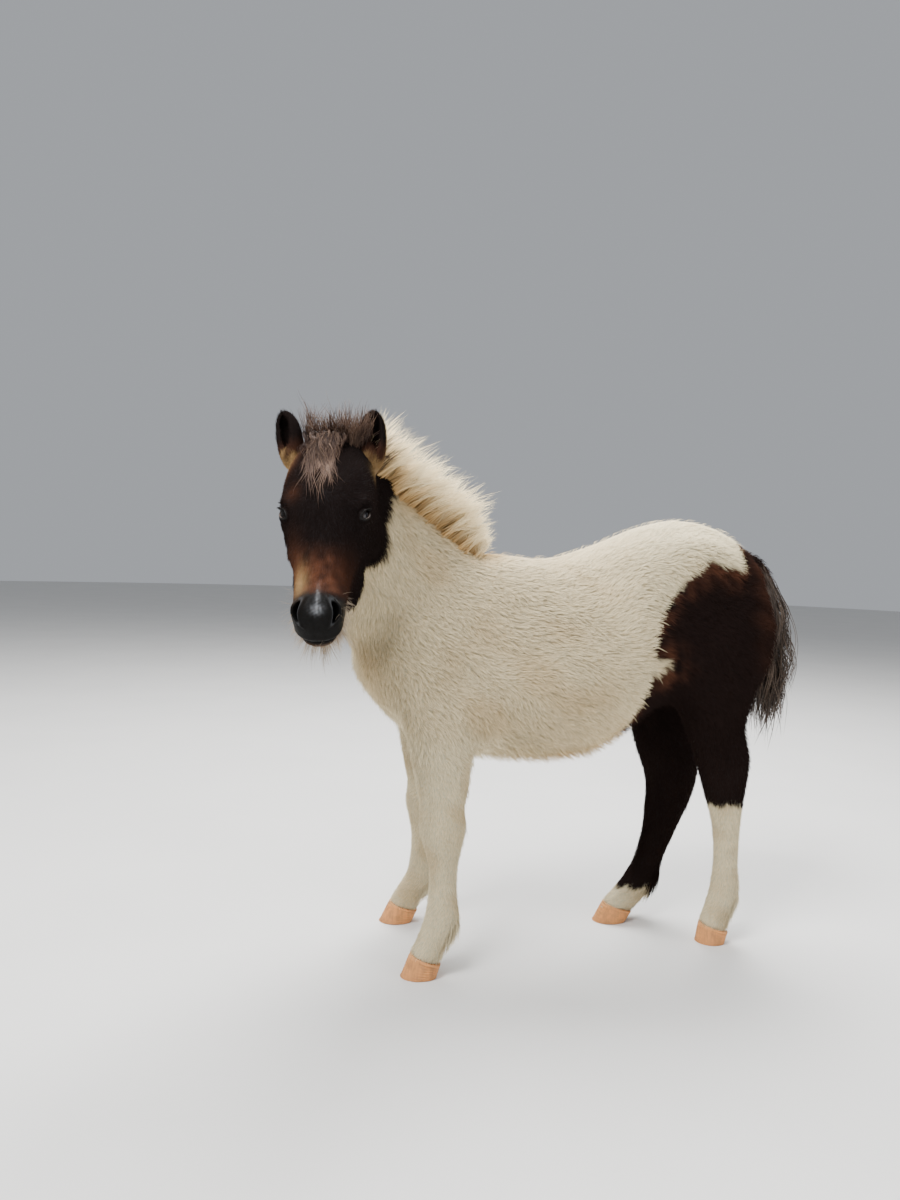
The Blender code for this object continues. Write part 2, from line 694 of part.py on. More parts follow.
class Skin:
    """Nearest-surface queries on one or more nodes."""

    def __init__(self, objects):
        self.trees = []
        for obj in objects:
            mesh = obj.data
            self.trees.append(BVHTree.FromPolygons([v.co for v in mesh.vertices], [p.vertices for p in mesh.polygons]))

    def keep_off(self, point, clearance):
        """Moves a point out of the surfaces so that it stands clear of them."""
        for tree in self.trees:
            near, normal, _, distance = tree.find_nearest(point)
            if near is None:
                continue
            height = (point - near).dot(normal)
            if height < 0 or distance < clearance:
                if distance < 0.06:
                    point = near + normal * clearance
        return point

    def clear(self, point, clearance):
        for tree in self.trees:
            near, _, _, distance = tree.find_nearest(point)
            if near is not None and distance < clearance:
                return False
        return True


def mane_locks(others, ears):
    """Upright bristling locks along the crest of the neck."""
    dice = random.Random(SEED)
    rows = neck_rows(80)
    locks = []
    for line, lean in enumerate((-0.55, 0.0, 0.55)):
        for k in range(14):
            share = (k + 0.5 * (line % 2) + dice.uniform(-0.2, 0.2)) / 14
            place = min(max(14 + share * 58, 14), 73)
            crest, throat, _, side = rows[int(place)]
            up = Vector(crest - throat).normalized()
            side = Vector(side)
            ahead = Vector(rows[int(place) + 1][0] - crest).normalized()
            swell = 0.50 + 0.50 * min(1.0, 4.0 * (1.0 - share) + 0.25, 3.5 * share + 0.30)
            length = MANE_LENGTH * swell * dice.uniform(0.88, 1.12)
            sway = lean + dice.uniform(-0.16, 0.16)
            back = dice.uniform(0.05, 0.30) * min(1.0, 4.0 * share)
            root = Vector(crest) + side * sway * 0.024 - up * 0.010
            path = []
            for m in range(5):
                t = m / 4
                reach = length * t + 0.010 * t
                bend = side * sway * 0.55 * reach - ahead * back * reach * t
                path.append(root + up * reach * (1 - 0.12 * t * abs(sway)) + bend)
            for m in range(1, 5):
                path[m] = others.keep_off(path[m], 0.005)
            if all(ears.clear(point, 0.006) for point in path):
                locks.append(lock_mesh("lock", path, dice.uniform(0.024, 0.032), 0.0065, side))
    return locks


def mane_core():
    """The dense lower half of the mane."""
    rings = []
    rows = neck_rows(80)[14:73:3]
    for share, (crest, throat, _, side) in zip(np.linspace(0, 1, len(rows)), rows):
        up = (crest - throat) / np.linalg.norm(crest - throat)
        rise = MANE_LENGTH * 0.42 * min(1.0, 5 * share + 0.25, 5 * (1 - share) + 0.45)
        rings.append(ring(crest + up * rise, crest - up * 0.014, side, 0.017, 0.72, 1.6, 2.0, 8))
    return loft_mesh("core", rings)


def forelock_locks(head_skin, neck_skin, ears):
    """Locks rising between the ears and falling down the forehead."""
    dice = random.Random(SEED + 1)
    frame = head_frame()
    turn = frame.to_3x3()
    locks = []
    for k in range(FALLING_LOCKS):
        lateral = -0.030 + 0.060 * (k + 0.5) / FALLING_LOCKS
        length = FORELOCK_LENGTH * dice.uniform(0.80, 1.15)
        spread = lateral * 6 + dice.uniform(-0.10, 0.10)
        layer = 0.0048 + 0.0056 * (k % 2)
        path = []
        for m in range(6):
            t = m / 5
            reach = length * t
            s = lateral + spread * reach * 0.40 + 0.003 * math.sin(5 * t + 2 * k)
            u = 0.014 - 0.006 * (k % 2) - 0.010 * math.sin(min(1.0, 2.4 * t) * math.pi) + reach * 0.92 * t**0.5
            near, normal, _, _ = head_skin.trees[0].find_nearest(frame @ Vector((u, s, 0.012 + 0.008 * t)))
            path.append(near + normal * (layer + 0.003 * math.sin(math.pi * t) if m > 0 else -0.008))
        flat_side = head_skin.trees[0].find_nearest(path[3])[1]
        if all(ears.clear(p, 0.006) and neck_skin.clear(p, 0.003) for p in path):
            locks.append(lock_mesh("lock", path, dice.uniform(0.012, 0.016), 0.0048, flat_side))
    for k in range(STANDING_LOCKS):
        lateral = -0.028 + 0.056 * (k + 0.5) / STANDING_LOCKS
        length = FORELOCK_LENGTH * dice.uniform(0.42, 0.62)
        spread = lateral * 7 + dice.uniform(-0.12, 0.12)
        path = []
        for m in range(6):
            t = m / 5
            reach = length * t
            s = lateral + spread * reach * 0.42 + 0.003 * math.sin(5 * t + 2 * k)
            path.append(frame @ Vector((-0.004 - reach * 0.85, s, -0.010 + reach * 0.62)))
        if all(ears.clear(p, 0.006) and neck_skin.clear(p, 0.003) for p in path):
            locks.append(lock_mesh("lock", path, dice.uniform(0.012, 0.016), 0.0055, turn @ Vector((0.35, 0, 1))))
    return locks


def chin_locks():
    """A short beard under the chin."""
    dice = random.Random(SEED + 2)
    frame = head_frame()
    locks = []
    for k in range(9):
        side = -1 + 2 * k / 8
        length = CHIN_LOCK_LENGTH * dice.uniform(0.70, 1.10) * (1 - 0.15 * abs(side))
        u = 0.258 + 0.022 * (1 - abs(side)) + dice.uniform(-0.008, 0.006)
        path = []
        for m in range(5):
            t = m / 4
            place = Vector((u + length * 0.90 * t, side * (0.022 + 0.010 * t), -0.064 - length * 0.42 * t))
            path.append(frame @ place)
        locks.append(lock_mesh("lock", path, 0.010, 0.004, frame.to_3x3() @ Vector((0.6, 0, 0.6))))
    return locks


def tail_locks(others):
    """Long wavy locks hanging from all round the dock."""
    dice = random.Random(SEED + 3)
    dock = table_curve([(*point, radius) for point, radius in DOCK], 60)
    locks = []
    count = 26
    for k in range(count):
        share = (k + 0.5) / count
        row = dock[int(16 + 42 * share)]
        angle = 2.399963 * k
        radial = Vector((math.cos(angle), math.sin(angle), 0.0))
        length = TAIL_LOCK_LENGTH * dice.uniform(0.85, 1.12) * (0.92 - 0.10 * share)
        flare = (0.044 - 0.012 * share) * dice.uniform(0.75, 1.10)
        phase = dice.uniform(0, 6.28)
        root = Vector(row[:3])
        path = []
        for m in range(5):
            t = m / 4
            out = flare * math.sin(min(1.0, 0.12 + 1.15 * t) * math.pi * 0.62)
            out *= 1.0 - 0.60 * max(0.0, t - 0.50) / 0.50 * (0.4 + 0.6 * share)
            drop = length * t
            wave = 0.0045 * math.sin(7.5 * t + phase) * min(1.0, 2 * t)
            cross = Vector((-radial.y, radial.x, 0))
            point = root + radial * (0.006 + out) + cross * wave + Vector((0.008 * math.sin(math.pi * t), 0, -drop))
            path.append(point)
        for m in range(1, 5):
            path[m] = others.keep_off(path[m], 0.007)
        locks.append(lock_mesh("lock", path, dice.uniform(0.026, 0.034), 0.0085, radial))
    return locks


def fetlock_locks(name, stations):
    """Small tufts behind the fetlock and along the back of the forearm."""
    dice = random.Random(SEED + 4 + len(name))
    locks = []
    front, rear, y, half = stations[9]
    for k in range(5):
        side = (k - 2) / 2
        length = FETLOCK_LENGTH * dice.uniform(0.8, 1.1)
        root = Vector((rear[0] - 0.010 - 0.008 * abs(side), y + side * half * 0.55, rear[1] + dice.uniform(-0.008, 0.004)))
        path = [root + Vector((0.012 * t, side * 0.003 * t, -length * t)) for t in (0, 0.33, 0.66, 1.0)]
        locks.append(lock_mesh("lock", path, 0.013, 0.005, Vector((1, side * 0.6, 0.3))))
    return locks


def fuse(obj, meshes, solver="MANIFOLD"):
    """Joins locks to the node they grow from as one closed body."""
    group = bpy.data.collections.new("locks")
    bpy.context.scene.collection.children.link(group)
    for mesh in meshes:
        group.objects.link(bpy.data.objects.new("lock", mesh))
    modifier = obj.modifiers.new("Grow", "BOOLEAN")
    modifier.operation = "UNION"
    modifier.solver = solver
    modifier.operand_type = "COLLECTION"
    modifier.collection = group
    settle(obj)
    for other in list(group.objects):
        bpy.data.objects.remove(other)
    bpy.data.collections.remove(group)
    keep_largest(obj)


def paint(obj):
    colour, roughness = FINISHES[obj.name.split("_")[0]]
    material = bpy.data.materials.new(obj.name)
    material.use_nodes = True
    shader = material.node_tree.nodes["Principled BSDF"]
    shader.inputs["Base Color"].default_value = colour
    shader.inputs["Roughness"].default_value = roughness
    shader.inputs["Metallic"].default_value = 0.0
    obj.data.materials.clear()
    obj.data.materials.append(material)
    for polygon in obj.data.polygons:
        polygon.use_smooth = True


def centre_on_floor(objects):
    """Puts the middle of the whole box over the origin."""
    points = np.concatenate([np.array([v.co for v in obj.data.vertices]) for obj in objects])
    middle = (points.min(axis=0) + points.max(axis=0)) / 2
    for obj in objects:
        obj.data.transform(Matrix.Translation((-middle[0], -middle[1], -FLOOR)))


def main():
    for obj in list(bpy.data.objects):
        bpy.data.objects.remove(obj)
    flesh = flesh_mesh()
    skins = {name: thinned(flesh, count) for name, count in SKIN_TRIANGLES.items()}
    bpy.data.objects.remove(flesh)
    frame = head_frame()
    turn = frame.to_3x3()
    nape = frame_from(frame @ Vector((-0.040, 0, 0)), turn @ Vector((0.96, 0, 0.28)), turn @ Vector((0.28, 0, -0.96)))
    nape = nape @ Matrix.Rotation(math.radians(10), 4, "Y")
    shoulder = frame_from((-0.190, 0, 0.770), (-0.80, 0, 0.60), (-0.60, 0, -0.80))
    here = Matrix.Identity(4)
    boxes = {
        "head": (nape, (0.0, -0.15, -0.140), (0.50, 0.192, 0.105)),
        "neck": (shoulder, (0.0, -0.20, -0.25), (0.55, 0.42, 0.25)),
        "tail": (here, (TAIL_CUT, -0.06, 0.44), (0.60, 0.06, 0.80)),
    }
    for name in LEGS:
        x0, x1 = (-0.45, -0.165) if name.startswith("fore") else (0.088, 0.45)
        y0, y1 = (-0.25, -0.006) if name.endswith("left") else (0.006, 0.25)
        top = FORELEG_CUT if name.startswith("fore") else HINDLEG_CUT
        boxes[name] = (here, (x0, y0, -0.05), (x1, y1, top))
    nodes = {}
    for name, box in boxes.items():
        skin = skins["head" if name == "head" else "legs" if name in LEGS else "body"]
        nodes[name] = part_of(skin, name, *box)
    clear_box(nodes["neck"], *boxes["head"])
    nodes["torso"] = copy_object(skins["body"], "torso")
    for box in boxes.values():
        clear_box(nodes["torso"], *box)
    for skin in skins.values():
        bpy.data.objects.remove(skin)
    for name, stations in LEGS.items():
        front, rear, _ = coronet(stations)
        below = frame_from(front, rear - front, (0, 1, 0))
        boolean(nodes[name], box_mesh("below", below, (-0.1, -0.1, -0.1), (0.2, 0.1, 0.0)), "DIFFERENCE", "MANIFOLD")
        keep_largest(nodes[name])
        foot = "hoof_" + name.replace("leg", "")
        nodes[foot] = add_object(foot, hoof_mesh(foot, stations, HOOF_REACH[name]))
    head, neck, torso, tail = (nodes[name] for name in ("head", "neck", "torso", "tail"))

    carve_eyes(head)
    carve_nostrils(head)
    carve_mouth(head)
    for hand in (1, -1):
        boolean(head, ear_mesh("ear", hand), "UNION", "MANIFOLD")
        boolean(head, ear_hollow(hand), "DIFFERENCE", "MANIFOLD")
    for hand, name in ((1, "ear_left"), (-1, "ear_right")):
        box = (ear_frame(hand), (0.018, -0.034, -0.034), (0.150, 0.034, 0.040))
        nodes[name] = part_of(head, name, *box)
        clear_box(head, *box)
    for hand, name in ((1, "eye_left"), (-1, "eye_right")):
        nodes[name] = add_object(name, ball_mesh(name, eye_place(hand) @ Matrix.Scale(EYE_RADIUS, 4), 14, 8))

    ears = [nodes["ear_left"], nodes["ear_right"]]
    legs = [nodes[name] for name in LEGS]
    bare_neck = copy_object(neck, "bare_neck")
    fuse(neck, [mane_core(), *mane_locks(Skin([head, torso]), Skin(ears))])
    clear_box(neck, *boxes["head"])
    clear_node(neck, torso)
    fuse(head, [*forelock_locks(Skin([head]), Skin([bare_neck]), Skin(ears)), *chin_locks()])
    fuse(tail, [tube_mesh("core", TAIL_CORE, 14, 12), *tail_locks(Skin([torso, *legs]))])
    clear_node(tail, torso)
    for name, stations in LEGS.items():
        fuse(nodes[name], fetlock_locks(name, stations))
    bpy.data.objects.remove(bare_neck)
    for obj in nodes.values():
        paint(obj)
    centre_on_floor(list(nodes.values()))


if __name__ == "__main__":
    main()
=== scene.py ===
"""The looks of a Shetland pony foal: skin, coat, hair, ears, eyes and hooves.

Metres, +Z up. The pony faces -X and its left side is towards -Y.
The tables are in the body's own frame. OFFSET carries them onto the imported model.
"""

import math

import bmesh
import bpy
import numpy as np
from bpy.props import FloatProperty, FloatVectorProperty, IntProperty, PointerProperty
from mathutils import Matrix, Vector
from mathutils.bvhtree import BVHTree
from mathutils.kdtree import KDTree


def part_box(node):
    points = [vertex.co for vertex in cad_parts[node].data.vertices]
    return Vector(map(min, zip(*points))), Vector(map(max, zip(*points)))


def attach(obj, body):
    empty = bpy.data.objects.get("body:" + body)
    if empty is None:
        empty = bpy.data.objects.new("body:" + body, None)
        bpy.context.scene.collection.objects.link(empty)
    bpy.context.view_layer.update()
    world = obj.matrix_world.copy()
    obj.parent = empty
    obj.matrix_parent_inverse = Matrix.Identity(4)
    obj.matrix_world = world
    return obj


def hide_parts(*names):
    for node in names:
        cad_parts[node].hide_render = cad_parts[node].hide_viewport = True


bl_info = {
    "name": "Shetland Pony Foal",
    "version": (1, 0, 0),
    "blender": (4, 5, 0),
    "location": "View3D > Sidebar > Pony",
    "description": "Builds the skin, coat, hair and hooves of a Shetland pony foal",
    "category": "Object",
}

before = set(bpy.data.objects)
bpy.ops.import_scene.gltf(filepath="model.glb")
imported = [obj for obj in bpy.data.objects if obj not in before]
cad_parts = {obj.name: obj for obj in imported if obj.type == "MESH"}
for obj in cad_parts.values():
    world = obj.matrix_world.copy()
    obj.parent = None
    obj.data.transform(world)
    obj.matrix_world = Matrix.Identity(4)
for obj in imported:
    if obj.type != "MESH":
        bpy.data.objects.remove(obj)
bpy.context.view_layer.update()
SEED = 7

# Head placing and size.
POLL = Vector((-0.476, -0.1465, 0.914))
HEAD_TURN = math.radians(73.5)  # from straight ahead towards its left
FACE_SLOPE = math.radians(27.0)  # of the face from the vertical
HEAD_TILT = math.radians(1.3)  # crown towards its right
EYE_CENTRE = (0.131, 0.0530, -0.0150)
EYE_SINK = 0.0020  # of the eye into its socket
EYE_TILT = math.radians(48.0)  # of the lids' opening from the line of the face
EYE_CORNER = 0.0112  # from the middle of the lids' opening to its ends
LID_REACH = 0.0172  # from the middle of the eye to the outer edge of the lids
LID_GAP = 0.0012  # between the eyeball and the ball that the lids are formed on
WHORL = 0.106  # of the forehead, from the poll
EAR_LENGTH = 0.076
EAR_ROOT = (0.014, 0.0630, -0.036)
NOSTRIL = (0.290, 0.0268, -0.010)
MOUTH = ((0.258, -0.058), (0.285, -0.054), (0.306, -0.049), (0.330, -0.043))  # along, height
# Folds along the line of the mouth: height out of the skin, place over the line, reach.
MOUTH_FOLDS = ((-0.0036, 0.0, 0.0022), (0.0016, 0.0080, 0.0050), (0.0014, -0.0075, 0.0045))
FLOOR = 0.013  # height of the floor in the tables below
FLESH_VOXEL = 0.0075  # of the remesh that fuses the forms

# Torso, nose to tail: x, back z, belly z, half width, where it is widest, upper and lower fullness.
TORSO = (
    (-0.406, 0.600, 0.520, 0.058, 0.50, 2.0, 2.0),
    (-0.380, 0.655, 0.480, 0.092, 0.52, 2.0, 2.0),
    (-0.335, 0.700, 0.434, 0.113, 0.52, 2.0, 2.1),
    (-0.270, 0.738, 0.398, 0.120, 0.54, 1.9, 2.1),
    (-0.190, 0.752, 0.380, 0.130, 0.58, 1.7, 2.2),
    (-0.130, 0.750, 0.371, 0.140, 0.60, 1.8, 2.2),
    (-0.050, 0.746, 0.366, 0.150, 0.58, 2.0, 2.2),
    (0.040, 0.772, 0.380, 0.153, 0.56, 2.1, 2.2),
    (0.130, 0.809, 0.430, 0.148, 0.52, 2.1, 2.1),
    (0.210, 0.826, 0.474, 0.140, 0.50, 2.1, 2.0),
    (0.290, 0.813, 0.510, 0.128, 0.46, 2.0, 2.0),
    (0.345, 0.781, 0.560, 0.100, 0.45, 2.0, 2.0),
    (0.378, 0.738, 0.610, 0.058, 0.48, 2.0, 2.0),
)

# Neck, base to poll: crest point, throat point, half width.
NECK = (
    ((-0.130, 0.000, 0.735), (-0.320, 0.000, 0.470), 0.085),
    ((-0.200, -0.002, 0.758), (-0.390, -0.012, 0.520), 0.090),
    ((-0.262, -0.014, 0.796), (-0.428, -0.032, 0.594), 0.086),
    ((-0.330, -0.044, 0.842), (-0.455, -0.060, 0.678), 0.075),
    ((-0.400, -0.084, 0.884), (-0.468, -0.086, 0.735), 0.066),
    ((-0.446, -0.112, 0.900), (-0.482, -0.114, 0.785), 0.060),
)

# Head in its own frame: distance from the poll, forehead height, jaw height, half width,
# where it is widest, upper and lower fullness.
HEAD = (
    (-0.030, -0.045, -0.080, 0.026, 0.50, 2.0, 2.0),
    (-0.012, -0.016, -0.105, 0.054, 0.45, 2.1, 2.0),
    (0.015, 0.004, -0.122, 0.067, 0.42, 2.2, 2.0),
    (0.050, 0.017, -0.134, 0.072, 0.38, 2.3, 2.0),
    (0.088, 0.023, -0.146, 0.074, 0.34, 2.4, 2.0),
    (0.122, 0.021, -0.146, 0.074, 0.34, 2.4, 2.0),
    (0.157, 0.013, -0.132, 0.064, 0.38, 2.2, 2.0),
    (0.190, 0.005, -0.108, 0.052, 0.42, 2.1, 2.0),
    (0.225, 0.000, -0.090, 0.045, 0.46, 2.1, 2.0),
    (0.258, 0.000, -0.079, 0.0415, 0.48, 2.2, 2.1),
    (0.284, -0.001, -0.077, 0.0405, 0.50, 2.3, 2.2),
    (0.306, -0.008, -0.076, 0.037, 0.50, 2.3, 2.2),
    (0.319, -0.022, -0.068, 0.027, 0.50, 2.2, 2.2),
    (0.325, -0.036, -0.056, 0.012, 0.50, 2.2, 2.2),
)

# Forms added to the head on each side, in its frame: centre, half sizes.
HEAD_MASSES = (
    ((0.108, 0.044, -0.088), (0.064, 0.035, 0.058)),  # jowl
    ((0.112, 0.052, -0.006), (0.026, 0.020, 0.015)),  # brow
    ((0.160, 0.045, -0.044), (0.046, 0.017, 0.022)),  # cheek ridge
    ((0.190, 0.032, -0.088), (0.066, 0.0245, 0.032)),  # lower jaw
    ((0.284, 0.026, -0.022), (0.021, 0.0155, 0.021)),  # nostril wing
    ((0.300, 0.010, -0.038), (0.018, 0.024, 0.022)),  # upper lip
    ((0.286, 0.006, -0.068), (0.024, 0.018, 0.016)),  # chin
)

# Legs, top to coronet: front (x, z), rear (x, z), centre y, half width.
LEGS = {
    "foreleg_left": (
        ((-0.365, 0.560), (-0.160, 0.560), -0.078, 0.046),
        ((-0.348, 0.470), (-0.178, 0.450), -0.086, 0.050),
        ((-0.326, 0.410), (-0.204, 0.395), -0.092, 0.047),
        ((-0.310, 0.345), (-0.212, 0.340), -0.096, 0.042),
        ((-0.302, 0.300), (-0.218, 0.298), -0.098, 0.038),
        ((-0.303, 0.268), (-0.215, 0.268), -0.100, 0.041),
        ((-0.294, 0.236), (-0.222, 0.236), -0.102, 0.035),
        ((-0.284, 0.200), (-0.228, 0.200), -0.103, 0.028),
        ((-0.284, 0.150), (-0.228, 0.150), -0.105, 0.027),
        ((-0.290, 0.108), (-0.222, 0.103), -0.105, 0.032),
        ((-0.302, 0.074), (-0.243, 0.066), -0.105, 0.028),
        ((-0.314, 0.047), (-0.256, 0.034), -0.105, 0.030),
    ),
    "foreleg_right": (
        ((-0.355, 0.560), (-0.150, 0.560), 0.078, 0.046),
        ((-0.334, 0.470), (-0.168, 0.450), 0.086, 0.050),
        ((-0.308, 0.410), (-0.190, 0.395), 0.093, 0.047),
        ((-0.290, 0.340), (-0.194, 0.335), 0.100, 0.042),
        ((-0.280, 0.292), (-0.197, 0.290), 0.104, 0.038),
        ((-0.281, 0.258), (-0.194, 0.258), 0.110, 0.041),
        ((-0.274, 0.226), (-0.203, 0.226), 0.114, 0.035),
        ((-0.266, 0.190), (-0.211, 0.190), 0.118, 0.028),
        ((-0.265, 0.142), (-0.211, 0.138), 0.123, 0.027),
        ((-0.271, 0.106), (-0.206, 0.094), 0.127, 0.032),
        ((-0.289, 0.076), (-0.229, 0.062), 0.129, 0.028),
        ((-0.302, 0.051), (-0.244, 0.034), 0.130, 0.030),
    ),
    "hindleg_left": (
        ((0.150, 0.690), (0.372, 0.690), -0.070, 0.062),
        ((0.140, 0.590), (0.384, 0.620), -0.082, 0.066),
        ((0.160, 0.510), (0.372, 0.552), -0.088, 0.060),
        ((0.192, 0.450), (0.345, 0.492), -0.087, 0.050),
        ((0.220, 0.398), (0.338, 0.428), -0.083, 0.040),
        ((0.240, 0.350), (0.350, 0.370), -0.079, 0.035),
        ((0.258, 0.300), (0.346, 0.312), -0.077, 0.031),
        ((0.279, 0.240), (0.339, 0.246), -0.076, 0.027),
        ((0.287, 0.165), (0.338, 0.165), -0.075, 0.026),
        ((0.284, 0.116), (0.343, 0.110), -0.074, 0.031),
        ((0.275, 0.080), (0.331, 0.070), -0.073, 0.028),
        ((0.265, 0.047), (0.321, 0.034), -0.072, 0.030),
    ),
    "hindleg_right": (
        ((0.140, 0.690), (0.365, 0.690), 0.070, 0.062),
        ((0.110, 0.590), (0.372, 0.610), 0.082, 0.066),
        ((0.134, 0.500), (0.352, 0.535), 0.084, 0.060),
        ((0.166, 0.430), (0.328, 0.462), 0.080, 0.050),
        ((0.186, 0.362), (0.322, 0.382), 0.074, 0.040),
        ((0.208, 0.300), (0.328, 0.310), 0.068, 0.035),
        ((0.208, 0.240), (0.312, 0.252), 0.065, 0.031),
        ((0.203, 0.190), (0.284, 0.198), 0.062, 0.028),
        ((0.186, 0.132), (0.254, 0.136), 0.059, 0.027),
        ((0.166, 0.098), (0.240, 0.092), 0.057, 0.032),
        ((0.142, 0.072), (0.210, 0.056), 0.056, 0.029),
        ((0.121, 0.049), (0.181, 0.032), 0.055, 0.030),
    ),
}

# Hooves: how far the sole stands ahead of the coronet at toe and heel, rise of the toe's top.
HOOF_REACH = {
    "foreleg_left": (0.011, 0.008, 0.007),
    "foreleg_right": (0.017, 0.012, 0.001),
    "hindleg_left": (0.004, 0.008, 0.003),
    "hindleg_right": (0.018, 0.014, 0.002),
}
SOLE_HALF_WIDTH = 0.0275

# Muscle masses on each side: centre, half sizes, turn about Y in degrees.
MASSES = (
    ((-0.285, 0.082, 0.545), (0.090, 0.048, 0.135), -28),  # shoulder
    ((-0.202, 0.088, 0.475), (0.075, 0.040, 0.080), 30),  # triceps
    ((0.215, 0.070, 0.690), (0.130, 0.070, 0.110), 10),  # quarter
    ((0.302, 0.060, 0.640), (0.076, 0.062, 0.130), 6),  # buttock
)

# Dock of the tail: point, radius.
DOCK = (
    ((0.350, 0.000, 0.752), 0.026),
    ((0.388, 0.000, 0.738), 0.024),
    ((0.418, 0.002, 0.700), 0.021),
    ((0.430, 0.004, 0.640), 0.018),
    ((0.432, 0.006, 0.580), 0.014),
    ((0.430, 0.008, 0.540), 0.008),
)

# Ear, root to tip: height share, half width, half depth, forward offset.
EAR = (
    (-0.34, 0.0080, 0.0090, -0.0080),
    (-0.14, 0.0150, 0.0150, -0.0030),
    (0.06, 0.0190, 0.0175, 0.0000),
    (0.38, 0.0215, 0.0150, -0.0010),
    (0.58, 0.0215, 0.0120, -0.0015),
    (0.77, 0.0186, 0.0090, -0.0010),
    (0.91, 0.0128, 0.0060, 0.0005),
    (0.99, 0.0055, 0.0030, 0.0015),
)

# Hollows and folds of the head on each side: centre, reach, height out of the skin.
HEAD_FOLDS = (
    ((0.094, 0.052, 0.004), (0.018, 0.010, 0.014), -0.0030),  # temple hollow
    ((0.150, 0.056, -0.020), (0.016, 0.010, 0.008), -0.0016),  # below the eye
    ((0.178, 0.050, -0.040), (0.040, 0.012, 0.006), 0.0018),  # facial crest
    ((0.205, 0.040, -0.060), (0.030, 0.014, 0.014), -0.0020),  # hollow of the cheek
    ((0.225, 0.018, 0.000), (0.050, 0.006, 0.010), 0.0012),  # edge of the nasal bone
    ((0.268, 0.034, -0.010), (0.010, 0.010, 0.014), -0.0022),  # behind the nostril
    ((0.300, 0.000, -0.028), (0.020, 0.005, 0.024), -0.0008),  # groove of the upper lip
)

# Lids, outer edge to opening: share of the way, height over the ball that they are formed on.
LID_PROFILE = (
    (0.00, -0.0030),
    (0.20, -0.0010),
    (0.50, 0.0010),
    (0.82, 0.0022),
    (0.94, 0.0022),
    (1.00, 0.0014),
    (1.01, 0.0000),
)

# Dark patch on the quarters: along the body, height of its upper edge.
PATCH_ALONG = (0.070, 0.098, 0.104, 0.115, 0.124, 0.159, 0.182, 0.221, 0.276, 0.292, 0.305, 0.330)
PATCH_TOP = (0.430, 0.500, 0.620, 0.646, 0.670, 0.704, 0.724, 0.743, 0.727, 0.735, 0.775, 0.870)
PATCH_BAY = ((0.113, 0.557), (0.020, 0.014))  # white bay in its front edge: centre, half sizes
NEAR_SOCK = 0.286  # top of the white on the left hind leg
FAR_SOCK = 0.082  # top of the white on the right hind leg

# Golden tint on the white coat, partly painted shade under the throat, at the shoulder's point and under the
# belly: centre, reach, share.
TAN_AND_SHADE_PLACES = (
    ((-0.400, -0.058, 0.554), 0.055, 0.26),
    ((-0.385, -0.050, 0.500), 0.045, 0.16),
    ((-0.080, 0.000, 0.340), 0.120, 0.60),
    ((0.060, 0.000, 0.380), 0.110, 0.60),
)

# Spots of colour on the head, in its frame: share, centre, reach.
HEAD_SPOTS = {
    "rust": (
        (0.34, (0.103, -0.045, 0.010), (0.014, 0.012, 0.020)),  # over the right eye
        (0.60, (0.220, -0.042, -0.025), (0.050, 0.018, 0.030)),  # right side of the nose
        (0.30, (0.225, 0.036, -0.030), (0.040, 0.016, 0.026)),  # left side of the nose
        (0.25, (0.070, -0.070, -0.040), (0.040, 0.020, 0.030)),  # below the right ear
        (0.85, (0.036, -0.068, -0.026), (0.030, 0.022, 0.026)),  # root of the right ear
    ),
    "tan": (
        (0.80, (0.032, -0.068, -0.026), (0.019, 0.013, 0.016)),  # root of the right ear
        (0.60, (0.038, 0.071, -0.028), (0.014, 0.009, 0.014)),  # root of the left ear
        (0.85, (0.242, -0.030, -0.006), (0.024, 0.012, 0.022)),  # over the right nostril
    ),
    "pale": (
        (0.70, (0.268, 0.002, 0.000), (0.017, 0.0036, 0.014)),  # snip
        (0.90, (0.289, 0.002, -0.002), (0.0065, 0.0080, 0.014)),  # its lower end
    ),
}

# Lie of the coat on each side of the body: place, way, how far it holds.
COAT_LIES = (
    ((-0.395, 0.05, 0.55), (0.10, 0.25, -1.0), 0.07),
    ((-0.330, 0.12, 0.50), (0.45, 0.05, -1.0), 0.09),
    ((-0.260, 0.12, 0.44), (0.35, 0.0, -1.0), 0.08),
    ((0.075, 0.15, 0.590), (-0.55, 0.0, 0.95), 0.052),
    ((0.045, 0.15, 0.665), (-0.10, 0.0, 1.0), 0.045),
    ((0.190, 0.14, 0.620), (0.45, 0.0, -0.9), 0.08),
    ((0.280, 0.14, 0.680), (0.55, 0.0, -0.85), 0.09),
    ((0.340, 0.10, 0.600), (0.10, 0.0, -1.0), 0.09),
)

# Hairs to each square metre of skin.
TUFTS_BODY = 215000
TUFTS_LEG = 228000
TUFTS_HEAD = 270000
TUFTS_EAR = 620000
TUFTS_LID = 1900000
GUARD_HAIRS = 48000
WHISKERS = 10000

HEAD_BORDER = -0.004  # of near_head, where the pieces of the head's coat end
NECK_BORDER = ((-0.190, 0.0, 0.770), (-0.80, 0.0, 0.60))  # plane: point, way towards the neck
STRAND_PATCH = 0.003  # size of a strand's patch on the unwrap
COAT_COLOURS = ("White", "Dark", "Rust", "Tan", "Pale")
SIDES = ((1, "left"), (-1, "right"))

# Camera.
CAMERA_PLACE = Vector((-0.655, -1.575, 0.75))
CAMERA_TURN = math.radians(-15.0)
CAMERA_DIP = math.radians(3.3)
CAMERA_ROLL = math.radians(2.0)
CAMERA_LENS = 27.0  # millimetres on a sensor 36 mm high


def smooth(low, high, value):
    """Zero below low, one above high and a soft step between."""
    t = np.clip((value - low) / (high - low), 0.0, 1.0)
    return t * t * (3.0 - 2.0 * t)


def unit(vectors):
    return vectors / np.maximum(np.linalg.norm(vectors, axis=-1, keepdims=True), 1e-12)


